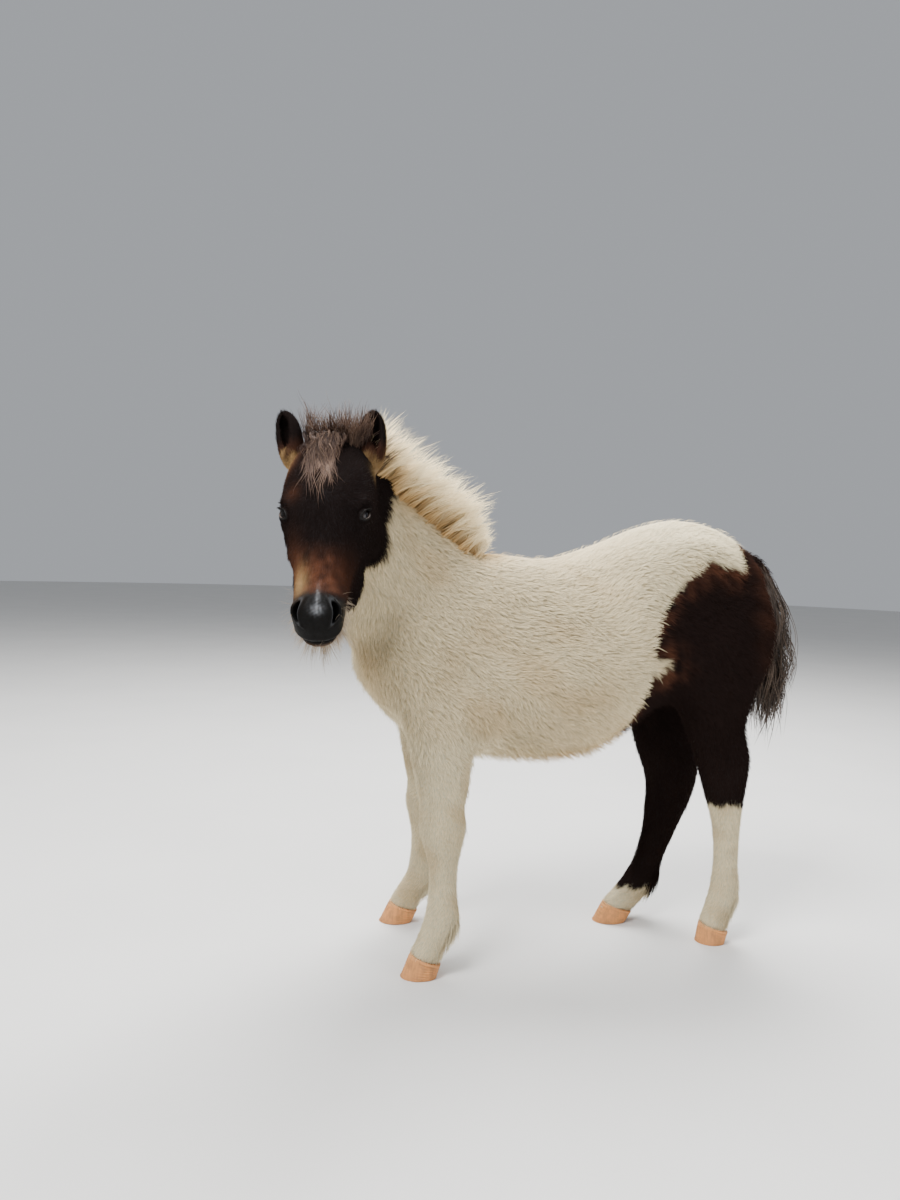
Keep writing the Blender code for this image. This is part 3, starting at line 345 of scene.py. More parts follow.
def mixed(start, end, share):
    """Start where share is zero, end where it is one."""
    return start * (1 - share) + end * share


def mirrored(place, hand):
    """A place, carried to the other side of its frame where hand is -1."""
    return place[0], hand * place[1], place[2]


def into(place, points):
    """Points in the frame of a place."""
    return (points - place[:3, 3]) @ place[:3, :3]


def out_of(place, points):
    """Points back out of the frame of a place."""
    return points @ place[:3, :3].T + place[:3, 3]


def laid_flat(lie, out):
    """The way of the hair, turned along the skin."""
    return unit(lie - out * (lie * out).sum(axis=1, keepdims=True))


def ripple(points, size, seed, waves=7):
    """Smooth noise from -1 to 1 whose features are about as wide as size."""
    dice = np.random.default_rng(seed)
    total = np.zeros(len(points))
    for _ in range(waves):
        aim = unit(dice.normal(size=3))
        total += np.sin(points @ aim * (2 * math.pi / size) * dice.uniform(0.55, 1.5) + dice.uniform(0, 6.28))
    return total / (0.75 * waves) ** 0.5 / 1.4


def table_curve(rows, count):
    """A smooth curve through the rows of a table, as count rows."""
    rows = np.array(rows, float)
    steps = np.linalg.norm(np.diff(rows[:, :3], axis=0), axis=1) ** 0.5
    knots = np.concatenate([[0.0], np.cumsum(steps)])
    slopes = np.gradient(rows, knots, axis=0)
    at = np.linspace(0.0, knots[-1], count)
    span = np.clip(np.searchsorted(knots, at, side="right") - 1, 0, len(rows) - 2)
    width = (knots[span + 1] - knots[span])[:, None]
    t = (at - knots[span])[:, None] / width
    start, end = rows[span], rows[span + 1]
    lead, trail = slopes[span] * width, slopes[span + 1] * width
    return (
        (2 * t**3 - 3 * t**2 + 1) * start
        + (t**3 - 2 * t**2 + t) * lead
        + (3 * t**2 - 2 * t**3) * end
        + (t**3 - t**2) * trail
    )


def ring(top, keel, side, half_width, widest, upper, lower, sides):
    """Points of an egg-shaped section between its top and keel points."""
    top, keel, side = np.array(top), np.array(keel), np.array(side)
    centre = top + widest * (keel - top)
    points = []
    for k in range(sides):
        turn = 2 * math.pi * k / sides
        c, s = math.cos(turn), math.sin(turn)
        power = 2.0 / (upper if c >= 0 else lower)
        end = top if c >= 0 else keel
        across = math.copysign(abs(s) ** power, s)
        points.append(centre + (end - centre) * abs(c) ** power + side * half_width * across)
    return points


def finish_mesh(bm, name):
    bmesh.ops.recalc_face_normals(bm, faces=bm.faces)
    mesh = bpy.data.meshes.new(name)
    bm.to_mesh(mesh)
    bm.free()
    return mesh


def loft_mesh(name, rings):
    """A closed mesh through rings of points, each end closed by a fan to its middle."""
    bm = bmesh.new()
    rows = [[bm.verts.new(Vector(p)) for p in points] for points in rings]
    sides = len(rows[0])
    for a, b in zip(rows, rows[1:]):
        for k in range(sides):
            n = (k + 1) % sides
            bm.faces.new((a[k], a[n], b[n], b[k]))
    for row in (rows[0], rows[-1]):
        middle = bm.verts.new(sum((v.co for v in row), Vector()) / sides)
        for k in range(sides):
            bm.faces.new((middle, row[k], row[(k + 1) % sides]))
    return finish_mesh(bm, name)


def ball_mesh(name, place, segments=24, rings=16):
    bm = bmesh.new()
    bmesh.ops.create_uvsphere(bm, u_segments=segments, v_segments=rings, radius=1.0, matrix=place)
    return finish_mesh(bm, name)


def frame_from(point, first, second):
    """A frame at a point whose X runs along first and whose Y leans to second."""
    x = Vector(first).normalized()
    z = x.cross(Vector(second)).normalized()
    y = z.cross(x)
    return Matrix.Translation(Vector(point)) @ Matrix((x, y, z)).transposed().to_4x4()


def head_frame():
    """The head's own frame: X along the face, Y out of its left side, Z out of the face."""
    facing = Vector((-math.cos(HEAD_TURN), -math.sin(HEAD_TURN), 0.0))
    upright = Matrix.Rotation(HEAD_TILT, 3, facing) @ Vector((0, 0, 1))
    left = upright.cross(facing)
    along = facing * math.sin(FACE_SLOPE) - upright * math.cos(FACE_SLOPE)
    out = facing * math.cos(FACE_SLOPE) + upright * math.sin(FACE_SLOPE)
    return Matrix.Translation(POLL) @ Matrix((along, left, out)).transposed().to_4x4()


def eye_place(hand):
    """The eye's frame: X outwards, Y towards the muzzle."""
    head = head_frame()
    centre = head @ Vector(mirrored(EYE_CENTRE, hand))
    outward = head.to_3x3() @ Vector((0.03, hand * 0.74, 0.67))
    forward = head.to_3x3() @ Vector((1.0, 0.0, -0.16))
    return frame_from(centre, outward, forward)


def eye_seat(hand):
    """The eye's frame, drawn a little back into its socket."""
    return eye_place(hand) @ Matrix.Translation((-EYE_SINK, 0.0, 0.0))


def nostril_span(q, hand):
    """The nostril's way out, and each place's span from its middle, one at its rim, its depth and side."""
    aim = unit(np.array((0.34, hand * 0.62, 0.72)))
    long_way = np.array((1.0, hand * 0.06, -0.30))
    long_way = unit(long_way - aim * (long_way @ aim))
    side_way = np.cross(aim, long_way)
    side_way = side_way * np.sign(side_way[1] * hand)
    away = q - np.array(mirrored(NOSTRIL, hand))
    a, b, c = away @ long_way, away @ side_way, away @ aim
    wide = 0.0047 - 0.10 * a
    return aim, np.sqrt((a / 0.0145) ** 2 + ((b + 12.0 * a**2 - 0.001) / wide) ** 2), c, b


def box_middle(node):
    low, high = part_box(node)
    return (Vector(low) + Vector(high)) / 2


OFFSET = box_middle("eye_left") - eye_place(1).translation
EYE_RADIUS = max(Vector(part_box("eye_left")[1]) - Vector(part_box("eye_left")[0])) / 2
HEAD_TURNS = np.array(head_frame().to_3x3())


def to_head(points):
    """Places in the head's frame: along the face, out of its left side, out of the face."""
    return (points - np.array(POLL)) @ HEAD_TURNS


def from_head(places):
    return places @ HEAD_TURNS.T + np.array(POLL)


def neck_rows(count):
    """Crest point, throat point, half width and sideways direction along the neck."""
    rows = table_curve([(*crest, *throat, half) for crest, throat, half in NECK], count)
    middles = (rows[:, :3] + rows[:, 3:6]) / 2
    side = unit(np.cross(np.gradient(middles, axis=0), rows[:, :3] - rows[:, 3:6]))
    return rows[:, :3], rows[:, 3:6], rows[:, 6], side


def leg_rows(stations):
    """The table of a leg, carried a little past the coronet."""
    rows = [(f[0], y, f[1], r[0], y, r[1], half) for f, r, y, half in stations]
    last = np.array(rows[-1])
    end = last + 0.9 * (last - np.array(rows[-2]))
    end[2] = max(end[2], FLOOR + 0.004)
    end[5] = max(end[5], FLOOR + 0.002)
    return [*rows, tuple(end)]


def tube_mesh(name, stations, count, sides):
    """A round tube through points with radii."""
    rows = table_curve([(*point, radius) for point, radius in stations], count)
    rings = []
    for row, tangent in zip(rows, np.gradient(rows[:, :3], axis=0)):
        side = Vector((0, 1, 0))
        up = side.cross(Vector(tangent)).normalized()
        turns = [2 * math.pi * k / sides for k in range(sides)]
        radius = float(row[3])
        rings.append([Vector(row[:3]) + (up * math.cos(t) + side * math.sin(t)) * radius for t in turns])
    return loft_mesh(name, rings)


def upright_loft(name, table, count):
    """A loft along X through the upright sections of a table."""
    rings = []
    for x, top, keel, *shape in table_curve(table, count):
        rings.append(ring((x, 0, top), (x, 0, keel), (0, 1, 0), *shape, 32))
    return loft_mesh(name, rings)


def body_forms():
    """The lofts and masses that the flesh is fused from."""
    head = upright_loft("head", HEAD, 48)
    head.transform(head_frame())
    neck = zip(*neck_rows(24))
    forms = [
        upright_loft("torso", TORSO, 40),
        loft_mesh("neck", [ring(c, t, s, h, 0.56, 1.8, 2.1, 28) for c, t, h, s in neck]),
        head,
        tube_mesh("dock", DOCK, 24, 14),
    ]
    for name, stations in LEGS.items():
        rows = table_curve(leg_rows(stations), 52)
        forms.append(loft_mesh(name, [ring(r[:3], r[3:6], (0, 1, 0), r[6], 0.5, 2.2, 2.2, 20) for r in rows]))
    for hand in (1, -1):
        for centre, half_sizes, turn in MASSES:
            place = Matrix.Translation(mirrored(centre, hand)) @ Matrix.Rotation(math.radians(turn), 4, "Y")
            forms.append(ball_mesh("mass", place @ Matrix.Diagonal((*half_sizes, 1.0))))
        for centre, half_sizes in HEAD_MASSES:
            place = head_frame() @ Matrix.Translation(mirrored(centre, hand))
            forms.append(ball_mesh("mass", place @ Matrix.Diagonal((*half_sizes, 1.0))))
    return forms


def link(name, mesh):
    obj = bpy.data.objects.new(name, mesh)
    bpy.context.scene.collection.objects.link(obj)
    return obj


def settled_mesh(obj):
    """The object's mesh with its modifiers applied."""
    graph = bpy.context.evaluated_depsgraph_get()
    return bpy.data.meshes.new_from_object(obj.evaluated_get(graph))


def coordinates(mesh):
    points = np.empty(len(mesh.vertices) * 3)
    mesh.vertices.foreach_get("co", points)
    return points.reshape(-1, 3)


def normals_of(mesh):
    normals = np.empty(len(mesh.vertices) * 3, np.float32)
    mesh.vertex_normals.foreach_get("vector", normals)
    return normals.reshape(-1, 3).astype(float)


def place_points(mesh, points):
    mesh.vertices.foreach_set("co", points.ravel())
    mesh.update()


def pull_of(mesh):
    """A function that gives each point's way to the middle of its neighbours."""
    ends = np.empty(len(mesh.edges) * 2, int)
    mesh.edges.foreach_get("vertices", ends)
    a, b = ends.reshape(-1, 2).T
    count = len(mesh.vertices)
    links = np.bincount(np.concatenate([a, b]), minlength=count)[:, None]

    def pull(points):
        total = np.empty_like(points)
        for axis in range(3):
            total[:, axis] = np.bincount(a, points[b, axis], count) + np.bincount(b, points[a, axis], count)
        return total / links - points

    return pull


def even_out(mesh, rounds, fill):
    """Relaxes the surface without shrinking it, then fills its sharp creases."""
    points = coordinates(mesh)
    pull = pull_of(mesh)
    from_poll = np.linalg.norm(points - np.array(POLL), axis=1)
    low = np.clip((points[:, 2] - 0.30) / 0.12, 0.0, 1.0)
    share = np.where(from_poll < 0.30, 0.22, 1.0) * (0.25 + 0.75 * low)
    for _ in range(fill):
        place_points(mesh, points)
        out = normals_of(mesh)
        rise = np.maximum((pull(points) * out).sum(axis=1), 0.0) * share
        points += out * rise[:, None] * 0.6
    for _ in range(rounds):
        for step in (0.55, -0.57):
            points += step * pull(points)
    place_points(mesh, points)


def near_head(points):
    """How far inside the edge of the head a place is, negative on the neck."""
    q = to_head(points)
    side_edge = 0.094 - 0.11 * np.maximum(q[:, 0] - 0.05, 0.0) - 0.25 * np.maximum(q[:, 0] - 0.172, 0.0)
    across = side_edge - q[:, 1]
    bridge = np.minimum(q[:, 2] + 0.103, q[:, 0] - 0.035)
    deep = 0.168 - (0.28 * q[:, 0] - 0.96 * q[:, 2])
    above = q[:, 0] + 0.060
    far = 0.45 - np.linalg.norm(q, axis=1)
    return np.minimum.reduce([np.maximum(across, bridge), deep, above, far])


def leg_share(points):
    """Zero on the trunk and one from the elbow and stifle down."""
    away = smooth(0.02, -0.04, near_head(points))
    return smooth(0.44, 0.34, points[:, 2]) * away


def coronet(leg):
    """The toe and heel ends of a hoof's top edge."""
    (above_x, above_z), _, _, _ = LEGS[leg][-2]
    front, rear, y, _ = LEGS[leg][-1]
    front, rear = np.array((front[0], y, front[1])), np.array((rear[0], y, rear[1]))
    return front + unit(np.array((above_x, y, above_z)) - front) * HOOF_REACH[leg][2], rear


def above_coronet(points):
    """Height of each place over the top edge of the nearest hoof."""
    height = np.full(len(points), 1.0)
    for leg in LEGS:
        front, rear = coronet(leg)
        slope = unit(front - rear)
        up = np.array((-slope[2], 0.0, slope[0]))
        up = up * np.sign(up[2])
        middle = (front + rear) / 2
        near = np.linalg.norm(points - middle, axis=1) < 0.075
        height = np.where(near, (points - middle) @ up, height)
    return height


def coat_depth(points):
    """How deep the coat stands over the skin."""
    q = to_head(points)
    head = smooth(-0.015, 0.012, near_head(points))
    face = 0.0030 - 0.0022 * smooth(0.235, 0.268, q[:, 0])
    legs = leg_share(points)
    foot = smooth(0.12, 0.05, points[:, 2])
    body = mixed(0.0115, 0.0048 - 0.0012 * foot, legs)
    clear = above_coronet(points)
    horn = 0.0062 * smooth(0.003, -0.004, clear) + 0.0080 * smooth(-0.003, -0.014, clear)
    return mixed(body, face, head) + horn


def in_head(points):
    """Which places get the head's finer skin."""
    return (near_head(points) > -0.012) & (to_head(points)[:, 0] > -0.045)


def in_detail(points):
    """Which places get the finest skin: the muzzle and round the eyes."""
    q = to_head(points)
    fine = (near_head(points) > 0) & (q[:, 0] > 0.250)
    for hand in (1, -1):
        fine |= np.linalg.norm(q - np.array(mirrored(EYE_CENTRE, hand)), axis=1) < 0.032
    return fine


def flesh_mesh():
    """The whole body as one smooth surface, as deep under the coat as the hair is long."""
    bm = bmesh.new()
    for form in body_forms():
        bm.from_mesh(form)
        bpy.data.meshes.remove(form)
    obj = link("flesh", finish_mesh(bm, "flesh"))
    fuse = obj.modifiers.new("Fuse", "REMESH")
    fuse.mode = "VOXEL"
    fuse.voxel_size = FLESH_VOXEL
    mesh = settled_mesh(obj)
    bpy.data.objects.remove(obj)
    even_out(mesh, 8, 70)
    points = coordinates(mesh)
    place_points(mesh, points - normals_of(mesh) * coat_depth(points)[:, None])
    return mesh


def finer_head(mesh):
    """Splits the faces of the head, the muzzle's once more, and rounds the new surface."""
    obj = link("rounded", mesh.copy())
    rounding = obj.modifiers.new("Round", "SUBSURF")
    rounding.levels = 2
    rounding.render_levels = 2
    rounded = settled_mesh(obj)
    bpy.data.objects.remove(obj)
    tree = BVHTree.FromPolygons(coordinates(rounded).tolist(), [tuple(p.vertices) for p in rounded.polygons])
    bpy.data.meshes.remove(rounded)
    bm = bmesh.new()
    bm.from_mesh(mesh)
    for cuts, inside in ((2, in_head), (1, in_detail)):
        points = np.array([v.co for v in bm.verts])
        chosen = inside(points)
        bm.verts.index_update()
        edges = [e for e in bm.edges if chosen[e.verts[0].index] and chosen[e.verts[1].index]]
        bmesh.ops.subdivide_edges(bm, edges=edges, cuts=cuts, use_grid_fill=True)
    for vert in bm.verts:
        vert.co = tree.find_nearest(vert.co)[0]
    return finish_mesh(bm, "skin")


def sculpt_head(mesh):
    """Nostrils, lips, the line of the mouth, eye sockets and the folds of the face."""
    points = coordinates(mesh)
    out = normals_of(mesh)
    q = to_head(points)
    near = (near_head(points) > 0.0) & (q[:, 0] > 0.0)
    chin = smooth(-0.030, -0.068, q[:, 2]) * smooth(0.245, 0.285, q[:, 0])
    q[:, 1] *= 1 - 0.34 * chin * near
    points = from_head(q)
    moved = np.zeros_like(points)
    for centre, reach, height in HEAD_FOLDS:
        for hand in (1, -1):
            away = (q - np.array(mirrored(centre, hand))) / np.array(reach)
            moved += out * (height * np.exp(-(away**2).sum(axis=1)))[:, None]
    lip = np.interp(q[:, 0], [m[0] for m in MOUTH], [m[1] for m in MOUTH])
    along = smooth(0.254, 0.266, q[:, 0])
    off = q[:, 2] - lip
    for height, middle, reach in MOUTH_FOLDS:
        moved += out * (height * along * np.exp(-(((off - middle) / reach) ** 2)))[:, None]
    points += moved * near[:, None]
    q = to_head(points)
    q[:, 0] += 0.0030 * smooth(-0.001, -0.007, off) * smooth(0.275, 0.300, q[:, 0]) * near
    for hand in (1, -1):
        aim, span, depth, side = nostril_span(q, hand)
        close = near & (np.abs(depth) < 0.026) & (q[:, 1] * hand > 0.006)
        rim = (0.0018 + 0.0012 * (side < 0)) * np.exp(-(((span - 1.42) / 0.30) ** 2)) * close
        pit = -0.0120 * smooth(1.12, 0.66, span) * close
        q += aim * (rim + pit)[:, None]
    points = np.where(near[:, None], from_head(q), points)
    for hand in (1, -1):
        place = np.array(eye_seat(hand))
        local = into(place, points)
        wide = np.hypot(local[:, 1], local[:, 2])
        low = 0.0180 * np.exp(-((wide / 0.0185) ** 2))
        high = 0.0138 + 0.55 * np.maximum(wide - 0.012, 0.0)
        fade = smooth(0.034, 0.018, wide) * near * (local[:, 0] > -0.02)
        local[:, 0] += (np.clip(local[:, 0], low, np.maximum(low, high)) - local[:, 0]) * fade
        sunk = smooth(0.0125, 0.0095, wide) * (local[:, 0] > -0.01) * near
        local[:, 0] = mixed(local[:, 0], 0.0030, sunk)
        points = np.where(near[:, None], out_of(place, local), points)
    place_points(mesh, points)


def patch_side(points):
    """How far inside the dark patch of the quarters a place is, negative outside."""
    x = points[:, 0] + 0.012 * smooth(0.0, 0.10, points[:, 1])
    top = np.interp(x, PATCH_ALONG, PATCH_TOP)
    inside = np.minimum((top - points[:, 2]) * 0.75, x - 0.072)
    (bay_x, bay_z), (half_x, half_z) = PATCH_BAY
    bay = np.sqrt(((x - bay_x) / half_x) ** 2 + ((points[:, 2] - bay_z) / half_z) ** 2)
    inside = np.minimum(inside, np.where(points[:, 1] < 0, (bay - 1.0) * 0.012, inside))
    sock = np.where(points[:, 1] < 0, NEAR_SOCK, FAR_SOCK)
    return np.minimum(inside, points[:, 2] - sock)


def markings(points):
    """Masks of the coat's colours at places on the skin, from 0 to 1. The golden mask also holds painted
    shade, and the pale mask a painted highlight.
    """
    q = to_head(points)
    u, s, h = q.T
    wander = 0.0040 * ripple(points, 0.034, 3) + 0.0015 * ripple(points, 0.011, 4)
    head_edge = near_head(points) - 0.0040
    patch = patch_side(points)
    dark_head = smooth(-0.004, 0.004, head_edge + wander * 0.8)
    dark_patch = smooth(-0.004, 0.004, patch + wander) * (points[:, 0] > 0.0)
    dark = np.maximum(dark_head, dark_patch)

    def spots(colour):
        total = np.zeros(len(points))
        for share, centre, reach in HEAD_SPOTS[colour]:
            total += share * np.exp(-(((q - np.array(centre)) / np.array(reach)) ** 2).sum(axis=1))
        return total

    bridge = smooth(0.172, 0.232, u) * smooth(0.272, 0.254, u) * smooth(0.050, 0.018, np.abs(s + 0.004))
    bridge *= smooth(-0.045, -0.015, h) * (0.75 + 0.35 * ripple(points, 0.022, 5))
    rust = np.clip(bridge, 0, 1) + spots("rust")
    margin = np.exp(-(((patch + wander - 0.008) / 0.016) ** 2)) * (points[:, 0] > 0.0) * (points[:, 2] > 0.40)
    rust += 0.60 * margin * np.clip(0.6 + 0.7 * ripple(points, 0.045, 6), 0, 1)
    rear = smooth(0.28, 0.36, points[:, 0]) * smooth(0.52, 0.62, points[:, 2])
    rust += 0.35 * rear * np.clip(0.6 + 0.5 * ripple(points, 0.06, 9), 0, 1)
    rust = np.clip(rust + 0.03 * dark_patch, 0, 1) * dark

    tan = spots("tan")
    # Painted shade: a golden band along the crest, under the roots of the mane.
    crest = neck_rows(40)[0][5:36]
    square = (points**2).sum(axis=1)[:, None] - 2 * points @ crest.T + (crest**2).sum(axis=1)[None]
    off_crest = np.sqrt(np.maximum(square.min(axis=1), 0.0))
    tan += 0.80 * np.exp(-((off_crest / 0.036) ** 2)) * (1 - dark)
    # Golden tint and painted shade at the throat, the shoulder's point and the belly.
    for centre, reach, share in TAN_AND_SHADE_PLACES:
        near = np.exp(-((np.linalg.norm(points - np.array(centre), axis=1) / reach) ** 2))
        tan += share * near * (1 - dark)
    # Painted shade on the sides of the trunk and the neck, which leaves the rump and the legs lighter.
    tan += 0.17 * smooth(0.40, 0.46, points[:, 2]) * smooth(0.16, 0.02, points[:, 0]) * (1 - dark)
    tan += 0.22 * np.clip(ripple(points, 0.11, 8), 0, 1) * (1 - dark)
    tan += 0.30 * np.clip(ripple(points, 0.060, 13), 0, 1) * leg_share(points) * (1 - dark)
    lip = np.interp(u, [m[0] for m in MOUTH], [m[1] for m in MOUTH])
    tan += 0.90 * smooth(0.280, 0.300, u) * smooth(-0.002, -0.012, h - lip) * (head_edge > 0)
    tan = np.clip(tan, 0, 1)

    bare = smooth(0.256, 0.272, u - 0.10 * np.maximum(np.abs(s) - 0.02, 0)) * (head_edge > 0)
    pale = spots("pale") * (0.85 + 0.45 * ripple(points, 0.006, 14))
    # Painted highlight: the pale colour along the inner rim of each nostril.
    for hand in (1, -1):
        _, span, depth, side = nostril_span(q, hand)
        fold = np.exp(-(((span - 1.30) / 0.16) ** 2)) * (side < 0) * (np.abs(depth) < 0.02)
        pale += 0.22 * fold * (q[:, 1] * hand > 0.006)
    return {"dark": dark, "rust": rust, "tan": tan, "pale": np.clip(pale, 0, 1), "bare": bare}


def set_values(mesh, name, values):
    layer = mesh.attributes.new(name, "FLOAT", "POINT")
    layer.data.foreach_set("value", np.ascontiguousarray(values, np.float32))


def surface_of(mesh):
    """The triangles of a mesh as rows of its points, with the points, their normals and the areas."""
    mesh.calc_loop_triangles()
    corners = np.empty(len(mesh.loop_triangles) * 3, int)
    mesh.loop_triangles.foreach_get("vertices", corners)
    corners = corners.reshape(-1, 3)
    points = coordinates(mesh)
    out = normals_of(mesh)
    a, b, c = points[corners[:, 0]], points[corners[:, 1]], points[corners[:, 2]]
    areas = np.linalg.norm(np.cross(b - a, c - a), axis=1) / 2
    return {"corners": corners, "points": points, "normals": out, "areas": areas}


def scatter(surface, density, dice):
    """Places spread over a surface: the corners of their triangles and their share of each.

    The density is one number or a function of the place.
    """
    corners = surface["corners"]
    rate = density(surface["points"][corners].mean(axis=1)) if callable(density) else density
    reach = np.cumsum(surface["areas"] * rate)
    total = int(reach[-1])
    picks = np.searchsorted(reach, (np.arange(total) + dice.random(total)) * reach[-1] / total)
    picks = np.minimum(picks, len(corners) - 1)
    a, b = dice.random((2, total))
    fold = a + b > 1
    a, b = np.where(fold, 1 - a, a), np.where(fold, 1 - b, b)
    return corners[picks], np.stack([1 - a - b, a, b], axis=1)[:, :, None]


def carried(values, corners, share):
    """Values of a surface's points carried to places within its triangles."""
    return (values[corners] * share).sum(axis=1)


def rooted(surface, density, dice):
    """Roots of hair spread over a surface, with the way out of it there."""
    corners, share = scatter(surface, density, dice)
    return carried(surface["points"], corners, share), unit(carried(surface["normals"], corners, share))


def comb_stations():
    """Places round the body with the way the hair lies there and how far that holds."""
    found = []
    for x, back, belly, half, _, _, _ in TORSO[1:]:
        middle = (back + belly) / 2
        for y in (half, -half):
            found.append((x, y, middle, 1.0, 0.0, -0.38, 0.08))
            found.append((x, y * 0.8, belly + 0.06, 1.0, 0.0, -0.55, 0.07))
        found += [(x, 0.0, back, 1.0, 0.0, -0.10, 0.08), (x, 0.0, belly, 1.0, 0.0, -0.30, 0.07)]
    for hand in (1, -1):
        found += [(*mirrored(place, hand), *mirrored(way, hand), reach) for place, way, reach in COAT_LIES]
    crest, throat, half, side = neck_rows(12)
    down = unit(throat - crest)
    back = unit(-np.gradient((crest + throat) / 2, axis=0))
    for k in range(12):
        lie = unit(back[k] * 0.85 + down[k] * 0.45)
        for share in (0.12, 0.5, 0.9):
            for hand in (1, -1):
                place = crest[k] + (throat[k] - crest[k]) * share + side[k] * hand * half[k]
                found.append((*place, *lie, 0.06))
    for stations in LEGS.values():
        rows = leg_rows(stations)
        for upper, lower in zip(rows[1:], rows[2:]):
            top = (np.array(upper[:3]) + np.array(upper[3:6])) / 2
            end = (np.array(lower[:3]) + np.array(lower[3:6])) / 2
            found.append((*top, *unit(end - top), 0.05))
    return np.array(found)


def comb(points, out):
    """The way the hair lies at each place, along the skin."""
    lie = np.zeros_like(points)
    for x, y, z, dx, dy, dz, reach in comb_stations():
        away = ((points - np.array((x, y, z))) ** 2).sum(axis=1) / reach**2
        lie += np.exp(-away)[:, None] * unit(np.array((dx, dy, dz)))
    lie = unit(lie + np.array((1e-6, 0, -1e-6)))
    q = to_head(points)
    u, s, h = q.T
    from_whorl = np.stack([u - WHORL, s, -0.55 * np.abs(s)], axis=1)
    side = smooth(-0.020, -0.060, h)[:, None] * smooth(0.24, 0.20, u)[:, None]
    face = unit(mixed(unit(from_whorl), np.array((0.45, 0.0, -0.85)), side))
    head = smooth(-0.03, 0.02, near_head(points))[:, None]
    lie = mixed(lie, face @ HEAD_TURNS.T, head)
    swirl = 0.30 * ripple(points, 0.075, 21) + 0.18 * ripple(points, 0.028, 22)
    return laid_flat(lie + np.cross(out, lie) * swirl[:, None], out)


def tuft_sizes(points):
    """Length, width and standing height of the tufts at each place."""
    q = to_head(points)
    u, _, h = q.T
    head = smooth(-0.012, 0.012, near_head(points))
    legs = leg_share(points)
    foot = smooth(0.16, 0.06, points[:, 2])
    jowl = smooth(-0.050, -0.100, h)
    muzzle = smooth(0.225, 0.268, u)
    parts = (
        (0.0150, 0.0095 - 0.0020 * foot, 0.0075 + 0.0065 * jowl - 0.0050 * muzzle),
        (0.0018, 0.0014, 0.0012 + 0.0004 * jowl - 0.0005 * muzzle),
        (0.0108, 0.0043 - 0.0008 * foot, 0.0026 + 0.0026 * jowl - 0.0019 * muzzle),
    )
    length, width, height = (mixed(mixed(trunk, leg, legs), face, head) for trunk, leg, face in parts)
    clear = above_coronet(points)
    height = height + 0.0018 * smooth(0.020, 0.005, clear)
    short = np.clip((clear + 0.004) / length, 0.35, 1.0)
    return length * short, width, height


def tuft_density(points):
    """Tufts to each square metre of skin."""
    head = smooth(-0.012, 0.012, near_head(points))
    legs = leg_share(points)
    u = to_head(points)[:, 0]
    density = mixed(mixed(TUFTS_BODY, TUFTS_LEG, legs), TUFTS_HEAD, head)
    density *= 1 - 0.80 * smooth(0.256, 0.272, u) * (near_head(points) > 0)
    return density * (above_coronet(points) > 0.003)


def leg_middle(stations, heights):
    """The middle of a leg at each height, along and across the body."""
    rows = np.array(leg_rows(stations))
    rows = rows[np.argsort(rows[:, 2])]
    return [np.interp(heights, rows[:, 2], middle) for middle in ((rows[:, 0] + rows[:, 3]) / 2, rows[:, 1])]


def behind_leg(points):
    """One at the back of a leg, falling to zero at its middle."""
    share = np.zeros(len(points))
    for stations in LEGS.values():
        middle_x, middle_y = leg_middle(stations, points[:, 2])
        near = (np.abs(points[:, 0] - middle_x) < 0.06) & (np.abs(points[:, 1] - middle_y) < 0.05)
        share = np.where(near, smooth(0.008, 0.020, points[:, 0] - middle_x), share)
    return share


def guard_sizes(points):
    """Share, length and droop of the longer hairs that break the outline."""
    head = smooth(-0.012, 0.012, near_head(points))
    legs = leg_share(points)
    x, y, z = points.T
    share = 0.07 * (1 - legs) * (1 - head) + 0.015 * legs * (1 - head)
    length = np.full(len(points), 0.024)
    droop = np.full(len(points), 0.35)

    def add(mask, more, long, drop):
        nonlocal share, length, droop
        share = share + more * mask
        length = mixed(length, long, mask)
        droop = mixed(droop, drop, mask)

    belly = np.interp(x, [row[0] for row in TORSO], [row[2] for row in TORSO])
    under = smooth(0.030, 0.0, z - belly - 0.014)
    add(under * smooth(-0.23, -0.19, x) * smooth(0.18, 0.0, x) * (1 - legs), 1.8, 0.036, 1.3)
    elbow = smooth(-0.235, -0.200, x) * smooth(-0.10, -0.16, x) * smooth(0.25, 0.30, z)
    add(elbow * smooth(0.50, 0.44, z) * smooth(0.04, 0.08, np.abs(y)), 0.7, 0.021, 0.6)
    jowl = head * smooth(-0.085, -0.120, to_head(points)[:, 2])
    add(jowl, 0.9, 0.022, 0.6)
    thigh = smooth(0.33, 0.365, x) * smooth(0.40, 0.46, z)
    add(thigh * (1 - legs), 0.35, 0.026, 0.6)
    heel = smooth(0.125, 0.105, z) * smooth(0.065, 0.085, z) * behind_leg(points)
    add(heel, 2.4, 0.024, 0.9)
    return share, length, droop


def body_parts(points):
    """Which places are on the head, the neck and the legs."""
    head = near_head(points) > HEAD_BORDER
    legs = (leg_share(points) > 0.5) & ~head
    ahead = (points - np.array(NECK_BORDER[0])) @ np.array(NECK_BORDER[1]) > 0
    return head, ahead & ~head & ~legs, legs


